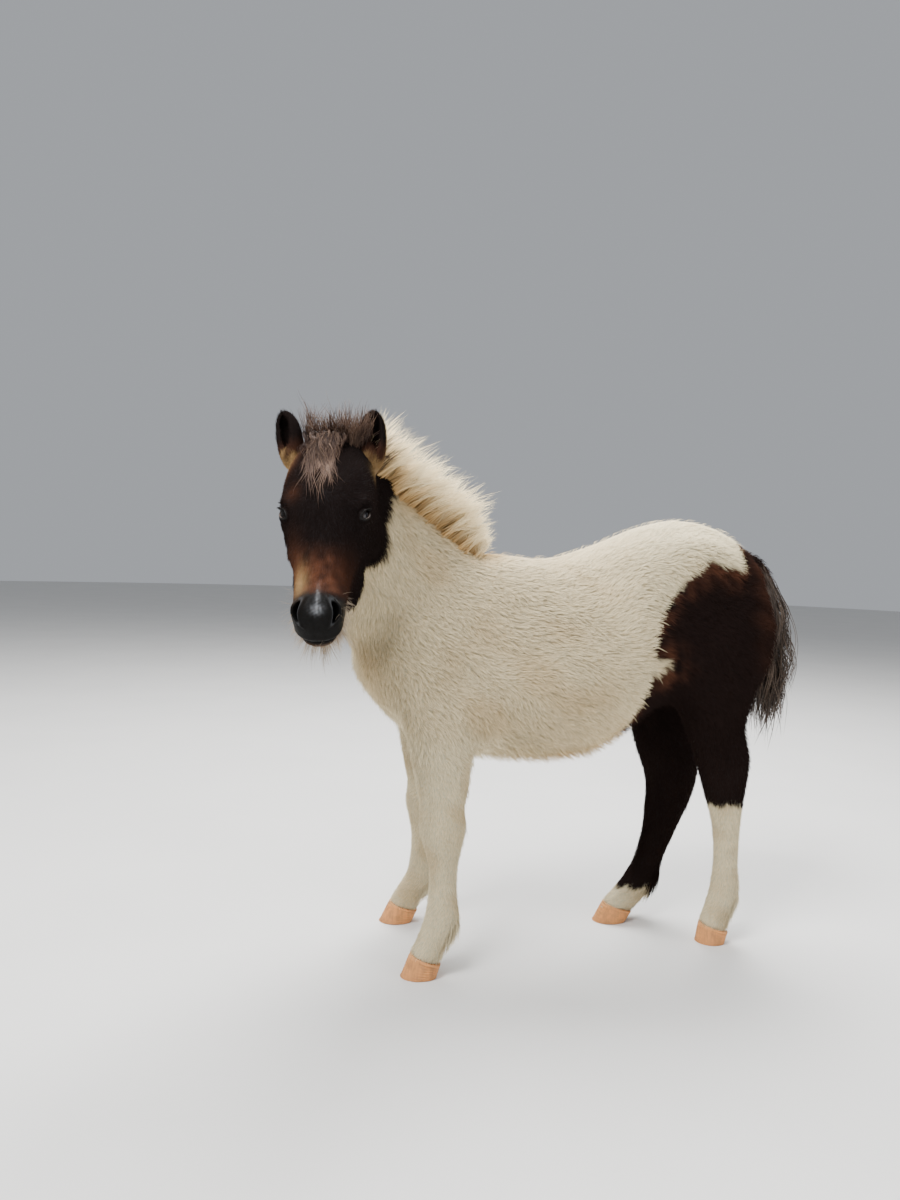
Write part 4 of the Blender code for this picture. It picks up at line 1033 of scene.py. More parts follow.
def unwrap(points):
    """Each place's spot on an unwrap of the skin: body, neck, head and legs as opened tubes."""
    head, neck, legs = body_parts(points)
    crest, throat, _, side = neck_rows(40)
    middles = (crest + throat) / 2
    nearest = np.argmin(np.linalg.norm(points[:, None, :] - middles[None], axis=2), axis=1)
    spots = np.empty((len(points), 2))
    around = np.arctan2(points[:, 1], points[:, 2] - 0.58) / (2 * math.pi) + 0.5
    spots[:, 0] = 0.01 + 0.57 * np.clip((points[:, 0] + 0.42) / 0.90, 0, 1)
    spots[:, 1] = 0.01 + 0.56 * around
    off = points - middles[nearest]
    turn = np.arctan2((off * side[nearest]).sum(axis=1), (off * unit(crest - throat)[nearest]).sum(axis=1))
    spots[neck, 0] = 0.60 + 0.38 * nearest[neck] / 39
    spots[neck, 1] = 0.01 + 0.56 * (turn[neck] / (2 * math.pi) + 0.5)
    q = to_head(points)
    turn = np.arctan2(q[:, 1], q[:, 2] + 0.06) / (2 * math.pi) + 0.5
    spots[head, 0] = 0.01 + 0.45 * np.clip((q[head, 0] + 0.06) / 0.40, 0, 1)
    spots[head, 1] = 0.59 + 0.39 * turn[head]
    for k, stations in enumerate(LEGS.values()):
        middle_x, middle_y = leg_middle(stations, points[:, 2])
        own = legs & (np.sign(points[:, 1]) == np.sign(stations[0][2])) & ((points[:, 0] > 0) == (k > 1))
        turn = np.arctan2(points[:, 1] - middle_y, points[:, 0] - middle_x) / (2 * math.pi) + 0.5
        spots[own, 0] = 0.49 + 0.125 * (k + 0.95 * turn[own])
        spots[own, 1] = 0.59 + 0.39 * np.clip(points[own, 2] / 0.45, 0, 1)
    return spots


def strand_mesh(name, paths, widths, flatness, flats, masks, roots, soft=None):
    """Tapered strands of hair along paths as one mesh, their broad sides facing flats.

    The flatness is a strand's depth over its width, and the roots place it on the unwrap. Where soft
    normals are given, the strands are shaded nearly like the skin below them.
    """
    count, steps, _ = paths.shape
    tangents = np.gradient(paths, axis=1)
    across = unit(np.cross(tangents, np.reshape(flats, (-1, 1, 3))))
    out = unit(np.cross(across, tangents))
    rings, sides = steps - 1, 3
    shape = ((1.0, 0.0), (-0.30, 1.0), (-0.30, -1.0))
    verts = np.empty((count, rings * sides + 1, 3), np.float32)
    normals = np.empty_like(verts)
    for k, (up, over) in enumerate(shape):
        offset = out * (up * widths * flatness)[:, :, None] + across * (over * widths / 2)[:, :, None]
        verts[:, k : rings * sides : sides] = (paths + offset)[:, :rings]
        if soft is not None:
            facing = out * up + across * over
            normals[:, k : rings * sides : sides] = unit(facing * 0.45 + soft[:, None, :])[:, :rings]
    verts[:, -1] = paths[:, -1]
    per = rings * sides + 1
    quads = []
    for j in range(rings - 1):
        for k in range(sides):
            n = (k + 1) % sides
            quads.append((j * sides + k, j * sides + n, (j + 1) * sides + n, (j + 1) * sides + k))
    last = (rings - 1) * sides
    tips = [(last + k, last + (k + 1) % sides, per - 1) for k in range(sides)]
    one = np.array([i for quad in quads for i in quad] + [i for tip in tips for i in tip])
    corners_of = [4] * len(quads) + [3] * sides
    below = np.array([face % sides == 1 for face, corners in enumerate(corners_of) for _ in range(corners)])
    loops = (np.arange(count)[:, None] * per + one[None]).ravel()
    sizes = np.tile(corners_of, count)
    mesh = bpy.data.meshes.new(name)
    mesh.vertices.add(count * per)
    mesh.vertices.foreach_set("co", verts.ravel())
    mesh.loops.add(len(loops))
    mesh.loops.foreach_set("vertex_index", loops.astype(np.int32))
    mesh.polygons.add(len(sizes))
    starts = np.concatenate([[0], np.cumsum(sizes)[:-1]])
    mesh.polygons.foreach_set("loop_start", starts.astype(np.int32))
    mesh.polygons.foreach_set("use_smooth", np.ones(len(sizes), bool))
    mesh.update(calc_edges=True)
    if soft is not None:
        normals[:, -1] = soft
        corner_normals = normals[:, one]
        corner_normals[:, below] = unit(unit(paths[:, -1] - paths[:, 0]) + 0.4 * soft)[:, None]
        layer = mesh.attributes.new("custom_normal", "FLOAT_VECTOR", "CORNER")
        layer.data.foreach_set("vector", corner_normals.ravel())
    t = np.append(np.repeat(np.arange(rings) / rings, sides), 1.0)
    for key, values in masks.items():
        set_values(mesh, key, np.repeat(values, per))
    set_values(mesh, "along", np.tile(t, count))
    breadth = np.append(np.tile([over * 0.5 + 0.5 for _, over in shape], rings), 0.5)
    patch = np.stack([breadth, t], axis=1) * STRAND_PATCH
    corner = (unwrap(roots)[:, None, :] + patch[None]).reshape(-1, 2)
    layer = mesh.uv_layers.new(name="OFBake")
    layer.data.foreach_set("uv", corner[loops].astype(np.float32).ravel())
    return mesh


def swung(lie, out, dice):
    """The way of the hair with a small chance turn of each tuft."""
    return unit(lie + np.cross(out, lie) * dice.normal(0.0, 0.20, len(lie))[:, None])


def lightness(locks, per, spread, dice):
    """The light mask of each hair, near that of its lock."""
    return np.clip(np.repeat(locks, per) + spread * dice.normal(size=len(locks) * per), 0, 1)


def guides_through(steps, place):
    """Paths through the places that a function gives from the root, at zero, to the tip, at one."""
    return np.stack([place(k / (steps - 1)) for k in range(steps)], axis=1)


def drawn_locks(guides, per, spread, fray, dice):
    """Hairs that run together along each guide, narrow towards its end and fray a little."""
    count, steps, _ = guides.shape
    total = count * per
    t = np.linspace(0, 1, steps)
    at = dice.uniform(0.70, 1.0, total)[:, None] * t[None] * (steps - 1)
    low = np.minimum(at.astype(int), steps - 2)
    part = (at - low)[:, :, None]
    own = np.repeat(np.arange(count), per)[:, None]
    paths = guides[own, low] * (1 - part) + guides[own, low + 1] * part
    offset = unit(dice.normal(size=(total, 3))) * dice.random(total)[:, None] ** 0.5
    paths += offset[:, None] * (spread * (1.0 - 0.62 * t))[None, :, None]
    stray = dice.normal(size=(total, 3)) * fray
    paths += stray[:, None] * (t**2)[None, :, None]
    return paths


def clumped(ends, roots, share, count, dice):
    """Draws the ends of hairs towards the nearest of some of their own number."""
    chosen = dice.choice(len(roots), count, replace=False)
    tree = KDTree(count)
    for k, index in enumerate(chosen):
        tree.insert(roots[index], k)
    tree.balance()
    nearest = chosen[np.fromiter((tree.find(root)[1] for root in roots), int, len(roots))]
    return ends + (ends[nearest] - ends) * share[:, None]


# Materials.


def new_group(name, inputs, outputs):
    """A node group with named inputs and outputs: name, socket type, default."""
    group = bpy.data.node_groups.new(name, "ShaderNodeTree")
    for label, kind, default in inputs:
        socket = group.interface.new_socket(label, in_out="INPUT", socket_type=kind)
        if default is not None:
            socket.default_value = default
    for label, kind in outputs:
        group.interface.new_socket(label, in_out="OUTPUT", socket_type=kind)
    return group, group.nodes.new("NodeGroupInput"), group.nodes.new("NodeGroupOutput")


def value_of(tree, name):
    node = tree.nodes.new("ShaderNodeAttribute")
    node.attribute_name = name
    return node.outputs["Fac"]


def connect(tree, target, source):
    """Links a socket, or sets it where the source is a plain value."""
    if isinstance(source, bpy.types.NodeSocket):
        tree.links.new(source, target)
    else:
        target.default_value = source


def blend_colour(tree, share, below, above):
    node = tree.nodes.new("ShaderNodeMix")
    node.data_type = "RGBA"
    for socket, source in zip((node.inputs[0], node.inputs[6], node.inputs[7]), (share, below, above)):
        connect(tree, socket, source)
    return node.outputs[2]


def maths(tree, operation, a, b=0.0, c=0.0):
    node = tree.nodes.new("ShaderNodeMath")
    node.operation = operation
    for socket, source in zip(node.inputs, (a, b, c)):
        connect(tree, socket, source)
    return node.outputs[0]


def noise(tree, scale, detail=3.0, stretch=None):
    coordinate = tree.nodes.new("ShaderNodeTexCoord").outputs["Object"]
    if stretch is not None:
        mapping = tree.nodes.new("ShaderNodeMapping")
        mapping.inputs["Scale"].default_value = stretch
        tree.links.new(coordinate, mapping.inputs["Vector"])
        coordinate = mapping.outputs["Vector"]
    node = tree.nodes.new("ShaderNodeTexNoise")
    tree.links.new(coordinate, node.inputs["Vector"])
    node.inputs["Scale"].default_value = scale
    node.inputs["Detail"].default_value = detail
    return node.outputs["Fac"]


def ranged(tree, value, low, high, start=0.0, end=1.0):
    node = tree.nodes.new("ShaderNodeMapRange")
    tree.links.new(value, node.inputs["Value"])
    for key, number in (("From Min", low), ("From Max", high), ("To Min", start), ("To Max", end)):
        node.inputs[key].default_value = number
    return node.outputs["Result"]


def scaled(tree, colour, factor):
    node = tree.nodes.new("ShaderNodeVectorMath")
    node.operation = "SCALE"
    tree.links.new(colour, node.inputs[0])
    tree.links.new(factor, node.inputs["Scale"])
    return node.outputs[0]


def add_bump(tree, shader, height, distance, strength=1.0):
    """Roughens a material by the height given."""
    bump = tree.nodes.new("ShaderNodeBump")
    bump.inputs["Distance"].default_value = distance
    bump.inputs["Strength"].default_value = strength
    tree.links.new(height, bump.inputs["Height"])
    tree.links.new(bump.outputs["Normal"], shader.inputs["Normal"])


def markings_group():
    """Mixes the coat's colours by the masks on the mesh, painted shade in the golden mask and a painted
    highlight in the pale mask among them.
    """
    name = "Coat Markings"
    if name in bpy.data.node_groups:
        return bpy.data.node_groups[name]
    sockets = [(label, "NodeSocketColor", None) for label in COAT_COLOURS]
    group, inputs, outputs = new_group(name, sockets, [("Color", "NodeSocketColor")])
    given = inputs.outputs
    tan = value_of(group, "tan")
    light = blend_colour(group, tan, given["White"], given["Tan"])
    dark = blend_colour(group, value_of(group, "rust"), given["Dark"], given["Rust"])
    dark = blend_colour(group, maths(group, "MULTIPLY", tan, 0.8), dark, given["Tan"])
    colour = blend_colour(group, value_of(group, "dark"), light, dark)
    colour = blend_colour(group, value_of(group, "pale"), colour, given["Pale"])
    group.links.new(colour, outputs.inputs["Color"])
    return group


def hair_tone_group():
    """Darkens the hair at its root and lightens it at its tip, painted shade deep in the hair and painted
    light on the tips, and varies it lock by lock.
    """
    name = "Hair Tone"
    if name in bpy.data.node_groups:
        return bpy.data.node_groups[name]
    group, inputs, outputs = new_group(
        name,
        [
            ("Color", "NodeSocketColor", None),
            ("Root Tint", "NodeSocketColor", None),
            ("Tip Tint", "NodeSocketColor", None),
            ("Variation", "NodeSocketFloat", 0.25),
        ],
        [("Color", "NodeSocketColor")],
    )
    # Painted shade at the root, running to painted light at the tip.
    along = maths(group, "POWER", value_of(group, "along"), 1.1)
    tint = blend_colour(group, along, inputs.outputs["Root Tint"], inputs.outputs["Tip Tint"])
    product = group.nodes.new("ShaderNodeVectorMath")
    product.operation = "MULTIPLY"
    group.links.new(inputs.outputs["Color"], product.inputs[0])
    group.links.new(tint, product.inputs[1])
    tone = maths(group, "SUBTRACT", value_of(group, "tone"), 0.5)
    soft = maths(group, "SUBTRACT", noise(group, 45.0, 4.0), 0.5)
    both = maths(group, "ADD", tone, soft)
    shade = maths(group, "MULTIPLY_ADD", both, inputs.outputs["Variation"], 1.0)
    group.links.new(scaled(group, product.outputs[0], shade), outputs.inputs["Color"])
    return group


def new_material(name, roughness, specular):
    material = bpy.data.materials.new(name)
    material.use_nodes = True
    tree = material.node_tree
    shader = tree.nodes["Principled BSDF"]
    shader.inputs["Roughness"].default_value = roughness
    shader.inputs["Specular IOR Level"].default_value = specular
    return material, tree, shader


def marked_colour(tree, colours):
    group = tree.nodes.new("ShaderNodeGroup")
    group.node_tree = markings_group()
    for label, colour in colours.items():
        group.inputs[label].default_value = (*colour, 1.0)
    return group.outputs["Color"]


def toned_colour(tree, colour, root, tip, variation):
    group = tree.nodes.new("ShaderNodeGroup")
    group.node_tree = hair_tone_group()
    connect(tree, group.inputs["Color"], colour)
    group.inputs["Root Tint"].default_value = (*root, 1.0)
    group.inputs["Tip Tint"].default_value = (*tip, 1.0)
    group.inputs["Variation"].default_value = variation
    return group.outputs["Color"]


def coat_colours(settings):
    return {label: getattr(settings, label.lower())[:] for label in COAT_COLOURS}


def coat_material(settings):
    if "coat" in bpy.data.materials:
        return bpy.data.materials["coat"]
    material, tree, shader = new_material("coat", 0.68, 0.0)
    marked = marked_colour(tree, coat_colours(settings))
    # Painted shade at each tuft's root and painted light at its tip.
    colour = toned_colour(tree, marked, (0.74, 0.66, 0.55), (1.10, 1.08, 1.05), 0.24)
    tree.links.new(colour, shader.inputs["Base Color"])
    return material


def skin_material(settings):
    material, tree, shader = new_material("skin", 0.6, 0.055)
    colour = marked_colour(tree, coat_colours(settings))
    fine = ranged(tree, noise(tree, 900.0, 3.0), 0.3, 0.7, 0.55, 0.95)
    naked = blend_colour(tree, noise(tree, 160.0), (0.0025, 0.0025, 0.0025, 1), (0.0075, 0.0070, 0.0065, 1))
    for mask, tint in (
        ("tan", (0.150, 0.098, 0.066, 1)),
        # The pale tint paints the snip and the highlight on the nostrils' rims.
        ("pale", (0.150, 0.155, 0.165, 1)),
        # Painted shade: the inside of the nostrils darkened to near black.
        ("hollow", (0.001, 0.001, 0.001, 1)),
    ):
        naked = blend_colour(tree, value_of(tree, mask), naked, tint)
    bare = value_of(tree, "bare")
    tree.links.new(blend_colour(tree, bare, scaled(tree, colour, fine), naked), shader.inputs["Base Color"])
    tree.links.new(ranged(tree, bare, 0.0, 1.0, 0.75, 0.46), shader.inputs["Roughness"])
    add_bump(tree, shader, noise(tree, 620.0, 4.0), 0.0006, 0.7)
    return material


def hair_material(name, colour, light, root, tip, variation):
    """Long hair whose locks run from one colour to a lighter one."""
    material, tree, shader = new_material(name, 0.5, 0.22)
    between = blend_colour(tree, value_of(tree, "light"), (*colour, 1), (*light, 1))
    # Painted shade towards each hair's root and painted light towards its tip.
    tree.links.new(toned_colour(tree, between, root, tip, variation), shader.inputs["Base Color"])
    return material


def dress(name, mesh, material, nodes=()):
    """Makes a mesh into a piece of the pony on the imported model."""
    mesh.transform(Matrix.Translation(OFFSET))
    mesh.materials.clear()
    mesh.materials.append(material)
    obj = link(name, mesh)
    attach(obj, "root")
    if nodes:
        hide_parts(*nodes)


def hair_piece(name, material, path, widths, flatness, flats, light, roots, dice, soft=None):
    """Makes long hair into a piece, the share of the lighter colour given for each strand."""
    masks = {"light": light, "tone": dice.random(len(path))}
    dress(name, strand_mesh(name, path, widths, flatness, flats, masks, roots, soft), material)


def short_fur(name, settings, path, thickness, out, masks, roots, dice):
    """Makes short hair into a piece, lit like the skin below it."""
    masks["tone"] = dice.random(len(roots))
    widths = thickness * np.array((1.0, 0.1)) * dice.uniform(0.7, 1.3, len(roots))[:, None]
    mesh = strand_mesh(name, path, widths, 0.35, out, masks, roots, out)
    dress(name, mesh, coat_material(settings))


# Settings.


def colour_property(name, description, default):
    return FloatVectorProperty(
        name=name, description=description, default=default, subtype="COLOR", size=3, min=0.0, max=1.0
    )


def length_property(name, description, default):
    return FloatProperty(
        name=name,
        description=description,
        default=default,
        min=0.0,
        max=0.5,
        subtype="DISTANCE",
        unit="LENGTH",
    )


class PonyCoatSettings(bpy.types.PropertyGroup):
    white: colour_property("White Coat", "Colour of the cream white coat", (0.77, 0.690, 0.480))
    dark: colour_property("Dark Coat", "Colour of the head and the dark patch", (0.0118, 0.0088, 0.0087))
    rust: colour_property("Rust Coat", "Colour of the nose and of the patch's margin", (0.120, 0.050, 0.030))
    tan: colour_property("Tan Coat", "Colour of the golden shading", (0.51, 0.345, 0.165))
    pale: colour_property("Snip", "Colour of the pale mark between the nostrils", (0.17, 0.155, 0.15))
    clump: FloatProperty(
        name="Clumping",
        description="How far tufts draw together",
        default=0.40,
        min=0.0,
        max=1.0,
        subtype="FACTOR",
    )


class PonyHairSettings(bpy.types.PropertyGroup):
    mane: length_property("Mane Length", "Height of the mane above the crest", 0.100)
    forelock: length_property("Forelock Length", "Length of the locks on the forehead", 0.122)
    tail: length_property("Tail Lock Length", "Length of the locks of the tail", 0.206)
    chin: length_property("Chin Hair Length", "Length of the hair under the chin", 0.078)
    mane_colour: colour_property("Mane", "Colour of the mane", (0.85, 0.72, 0.455))
    brown: colour_property("Brown Hair", "Colour of the forelock", (0.045, 0.025, 0.019))
    bleached: colour_property("Bleached Hair", "Colour of the sun-bleached hair", (0.215, 0.142, 0.102))
    tail_dark: colour_property("Tail", "Colour of the tail", (0.027, 0.020, 0.017))
    tail_light: colour_property("Tail Light", "Colour of the tail's outer hair", (0.135, 0.10, 0.075))
    chin_colour: colour_property("Chin Hair", "Colour of the hair under the chin", (0.52, 0.42, 0.31))


class PonyHoofSettings(bpy.types.PropertyGroup):
    horn: colour_property("Horn", "Colour of the hoof wall", (0.64, 0.275, 0.088))
    horn_dark: colour_property("Worn Horn", "Colour of the hoof wall near the ground", (0.46, 0.205, 0.08))
    rings: IntProperty(
        name="Growth Rings", description="Number of growth rings on a hoof", default=7, min=0, max=30
    )


class PonyStageSettings(bpy.types.PropertyGroup):
    floor: colour_property("Floor", "Colour of the floor", (0.66, 0.65, 0.63))
    room: colour_property("Room", "Colour of the light from all round", (0.86, 0.90, 0.96))
    key: FloatProperty(
        name="Key Light", description="Power of the main light", default=305.0, min=0.0, unit="POWER"
    )


class PonyPiece(bpy.types.Operator):
    """What the pony's operators share"""

    bl_options = {"REGISTER", "UNDO"}

    def execute(self, context):
        self.build(context.scene)
        return {"FINISHED"}


SKIN = {}  # surface of the skin and the lie of its hair, for the pieces that grow on it


class PONY_OT_add_skin(PonyPiece):
    """Add the whole skin as one surface"""

    bl_idname = "pony.add_skin"
    bl_label = "Add Skin"

    def build(self, scene):
        flesh = flesh_mesh()
        mesh = finer_head(flesh)
        bpy.data.meshes.remove(flesh)
        sculpt_head(mesh)
        points = coordinates(mesh)
        SKIN.update(surface_of(mesh))
        for key, values in markings(points).items():
            set_values(mesh, key, values)
        # Painted shade: a mask that darkens the inside of the nostrils.
        spans = [nostril_span(to_head(points), hand) for hand in (1, -1)]
        hollow = sum(smooth(1.25, 0.85, span) * (np.abs(depth) < 0.03) for _, span, depth, _ in spans)
        set_values(mesh, "hollow", np.clip(hollow, 0, 1))
        mesh.shade_smooth()
        nodes = ["torso", "neck", "head", "tail", *LEGS]
        dress("skin", mesh, skin_material(scene.pony_coat), nodes)


class PONY_OT_add_coat(PonyPiece):
    """Add the tufts of the coat over the skin"""

    bl_idname = "pony.add_coat"
    bl_label = "Add Coat"

    def build(self, scene):
        SKIN["lie"] = comb(SKIN["points"], SKIN["normals"])
        settings = scene.pony_coat
        dice = np.random.default_rng(SEED)
        self.short_coat(settings, dice)
        self.guard_hair(settings, dice)

    def grown(self, density, dice, least=-math.inf):
        """Roots off the holes and at least so high over the coronet, the way out there and the lie."""
        corners, share = scatter(SKIN, density, dice)
        roots = carried(SKIN["points"], corners, share)
        keep = self.clear_of_holes(roots) & (above_coronet(roots) > least)
        corners, share = corners[keep], share[keep]
        out, lie = (unit(carried(SKIN[key], corners, share)) for key in ("normals", "lie"))
        return roots[keep], out, lie

    def short_coat(self, settings, dice):
        roots, out, lie = self.grown(tuft_density, dice)
        count = len(roots)
        length, width, height = tuft_sizes(roots)
        length = length * dice.uniform(0.75, 1.25, count)
        lift = np.clip(dice.beta(3.0, 1.6, count) * 1.12, 0.35, 1.1) * (1 + 0.10 * ripple(roots, 0.05, 11))
        lift *= 1 - 0.55 * smooth(0.40, 0.90, out[:, 2]) * (near_head(roots) < 0)
        lie = swung(lie, out, dice)
        path = np.empty((count, 2, 3))
        path[:, 0] = roots - out * (0.15 * height)[:, None]
        path[:, 1] = roots + lie * length[:, None] + out * (height * lift)[:, None]
        draw = settings.clump * smooth(0.004, 0.014, length)
        path[:, 1] = clumped(path[:, 1], roots, draw, count // 8, dice)
        widths = width[:, None] * np.array((1.0, 0.1)) * dice.uniform(0.75, 1.30, count)[:, None]
        self.pieces("coat", settings, dice, path, widths, out, roots, 64000)

    def guard_hair(self, settings, dice):
        roots, out, lie = self.grown(lambda places: GUARD_HAIRS * guard_sizes(places)[0], dice, 0.012)
        count = len(roots)
        _, length, droop = guard_sizes(roots)
        _, _, height = tuft_sizes(roots)
        length = length * dice.uniform(0.60, 1.15, count)
        lie = swung(lie, out, dice)
        path = np.empty((count, 3, 3))
        for k, (t, rise) in enumerate(((0.0, -0.1), (0.5, 0.80), (1.0, 1.12))):
            fall = np.array((0.0, 0.0, -1.0)) * (length * droop * t**2 * 0.5)[:, None]
            path[:, k] = roots + lie * (length * t)[:, None] + out * (height * rise)[:, None] + fall
        draw = clumped(path[:, 2], roots, np.full(count, 0.30), count // 3, dice) - path[:, 2]
        path[:, 1] += 0.4 * draw
        path[:, 2] += draw
        widths = 0.0011 * np.array((0.9, 1.0, 0.1))[None] * dice.uniform(0.6, 1.3, count)[:, None]
        self.pieces("long", settings, dice, path, widths, out, roots, 21000)

    def pieces(self, kind, settings, dice, path, widths, out, roots, most):
        """Makes the strands into pieces by the part of the body that they grow on, most to a piece."""
        masks = markings(roots)
        masks["tone"] = dice.random(len(roots))
        for region, own in self.regions(roots).items():
            rows = np.flatnonzero(own)
            for part, chosen in enumerate(np.array_split(rows, math.ceil(len(rows) / most)), 1):
                name = f"{kind}_{region}_{part}"
                up, picked = out[chosen], {key: values[chosen] for key, values in masks.items()}
                mesh = strand_mesh(name, path[chosen], widths[chosen], 0.32, up, picked, roots[chosen], up)
                dress(name, mesh, coat_material(settings))

    def clear_of_holes(self, roots):
        """Which places are off the eyes and the nostrils."""
        keep = np.ones(len(roots), bool)
        q = to_head(roots)
        for hand in (1, -1):
            local = into(np.array(eye_seat(hand)), roots)
            keep &= ~((np.hypot(local[:, 1], local[:, 2]) < 0.0132) & (local[:, 0] > -0.012))
            _, span, depth, _ = nostril_span(q, hand)
            keep &= (span > 1.5) | (np.abs(depth) > 0.03) | (q[:, 1] * hand < 0.006)
        return keep

    def regions(self, roots):
        head, neck, legs = body_parts(roots)
        body = ~head & ~legs & ~neck
        ahead, left = roots[:, 0] < 0, roots[:, 1] < 0
        return {
            "head": head,
            "neck": neck,
            "forelegs": legs & ahead,
            "hindlegs": legs & ~ahead,
            "body_left": body & left,
            "body_right": body & ~left,
        }


def ear_frame(hand):
    """The ear's frame: X up the ear, Y across it, Z into its opening."""
    head = head_frame()
    root = head @ Vector(mirrored(EAR_ROOT, hand))
    lean = 0.02 if hand > 0 else 0.22
    up = head.to_3x3() @ Vector((-0.90, hand * lean, 0.40))
    opening = head.to_3x3() @ Vector((0.35, hand * 0.45, 0.85))
    z = (opening - up * (opening.dot(up) / up.length_squared)).normalized()
    x = up.normalized()
    y = z.cross(x)
    return Matrix.Translation(root) @ Matrix((x, y, z)).transposed().to_4x4()


def ear_rings(hand, rows, around):
    """The ear as rings that run round its back and return inside its cup."""
    place = ear_frame(hand)
    rings = []
    for share, wide, deep, offset in table_curve(EAR, rows):
        gap = 0.02 + 0.62 * float(smooth(0.02, 0.42, share)) * float(smooth(1.02, 0.80, share))
        wall = 0.0026 * float(smooth(1.06, 0.55, share)) + 0.0007
        points = []
        for side in (0, 1):
            turns = np.linspace(math.pi / 2 + gap, 2.5 * math.pi - gap, around)
            for turn in turns if side == 0 else turns[::-1]:
                shrink = wall if side else 0.0
                y = (wide - shrink) * math.cos(turn)
                z = offset + (deep - shrink) * math.sin(turn)
                points.append(place @ Vector((share * EAR_LENGTH, y, z)))
        rings.append(points)
    return rings


class PONY_OT_add_ears(PonyPiece):
    """Add the cupped ears with their fur"""

    bl_idname = "pony.add_ears"
    bl_label = "Add Ears"

    def build(self, scene):
        dice = np.random.default_rng(SEED + 20)
        for hand, side in SIDES:
            name = f"ear_skin_{side}"
            mesh = loft_mesh(name, ear_rings(hand, 40, 22))
            for key, values in self.ear_masks(coordinates(mesh), hand).items():
                set_values(mesh, key, values)
            mesh.shade_smooth()
            self.fur(scene.pony_coat, mesh, hand, side, dice)
            dress(name, mesh, bpy.data.materials["skin"], [f"ear_{side}"])

    def ear_masks(self, points, hand):
        share = into(np.array(ear_frame(hand)), points)[:, 0] / EAR_LENGTH
        most = 0.90 if hand < 0 else 0.55
        tan = most * smooth(0.12, -0.14, share + 0.10 * ripple(points, 0.020, 31))
        return {
            "dark": np.ones(len(points)),
            "rust": 0.35 * smooth(0.45, 0.05, share),
            "tan": tan,
            "pale": np.zeros(len(points)),
            "bare": np.zeros(len(points)),
        }

    def fur(self, settings, mesh, hand, side, dice):
        roots, out = rooted(surface_of(mesh), TUFTS_EAR, dice)
        place = np.array(ear_frame(hand))
        local = into(place, roots)
        share = local[:, 0] / EAR_LENGTH
        keep = (share > -0.20) & (share < 0.985)
        roots, out, local, share = roots[keep], out[keep], local[keep], share[keep]
        count = len(roots)
        up = place[:3, 0][None] + 0.30 * dice.normal(size=(count, 3))
        inside = ((out * place[:3, 2]).sum(axis=1) > 0.25) & (share > 0.10)
        toward = np.where(inside[:, None], -np.sign(local[:, 1:2]) * place[:3, 1][None] * 0.5, 0.0)
        lie = laid_flat(up + toward, out)
        length = np.where(inside, 0.0080, 0.0065) * dice.uniform(0.6, 1.4, count)
        height = np.where(inside, 0.0034, 0.0026) * dice.uniform(0.4, 1.1, count)
        tips = roots + lie * length[:, None] + out * height[:, None]
        path = np.stack([roots - out * 0.0004, tips], axis=1)
        masks = self.ear_masks(roots, hand)
        short_fur(f"coat_ear_{side}", settings, path, 0.0010, out, masks, roots, dice)


def eye_material():
    """A dark brown iris under a wet cornea."""
    material, tree, shader = new_material("eye", 0.05, 0.26)
    shader.inputs["Coat Weight"].default_value = 0.1
    shader.inputs["Coat Roughness"].default_value = 0.02
    colour = blend_colour(tree, value_of(tree, "iris"), (0.012, 0.010, 0.010, 1), (0.012, 0.006, 0.004, 1))
    colour = blend_colour(tree, value_of(tree, "pupil"), colour, (0.002, 0.002, 0.003, 1))
    tree.links.new(colour, shader.inputs["Base Color"])
    return material


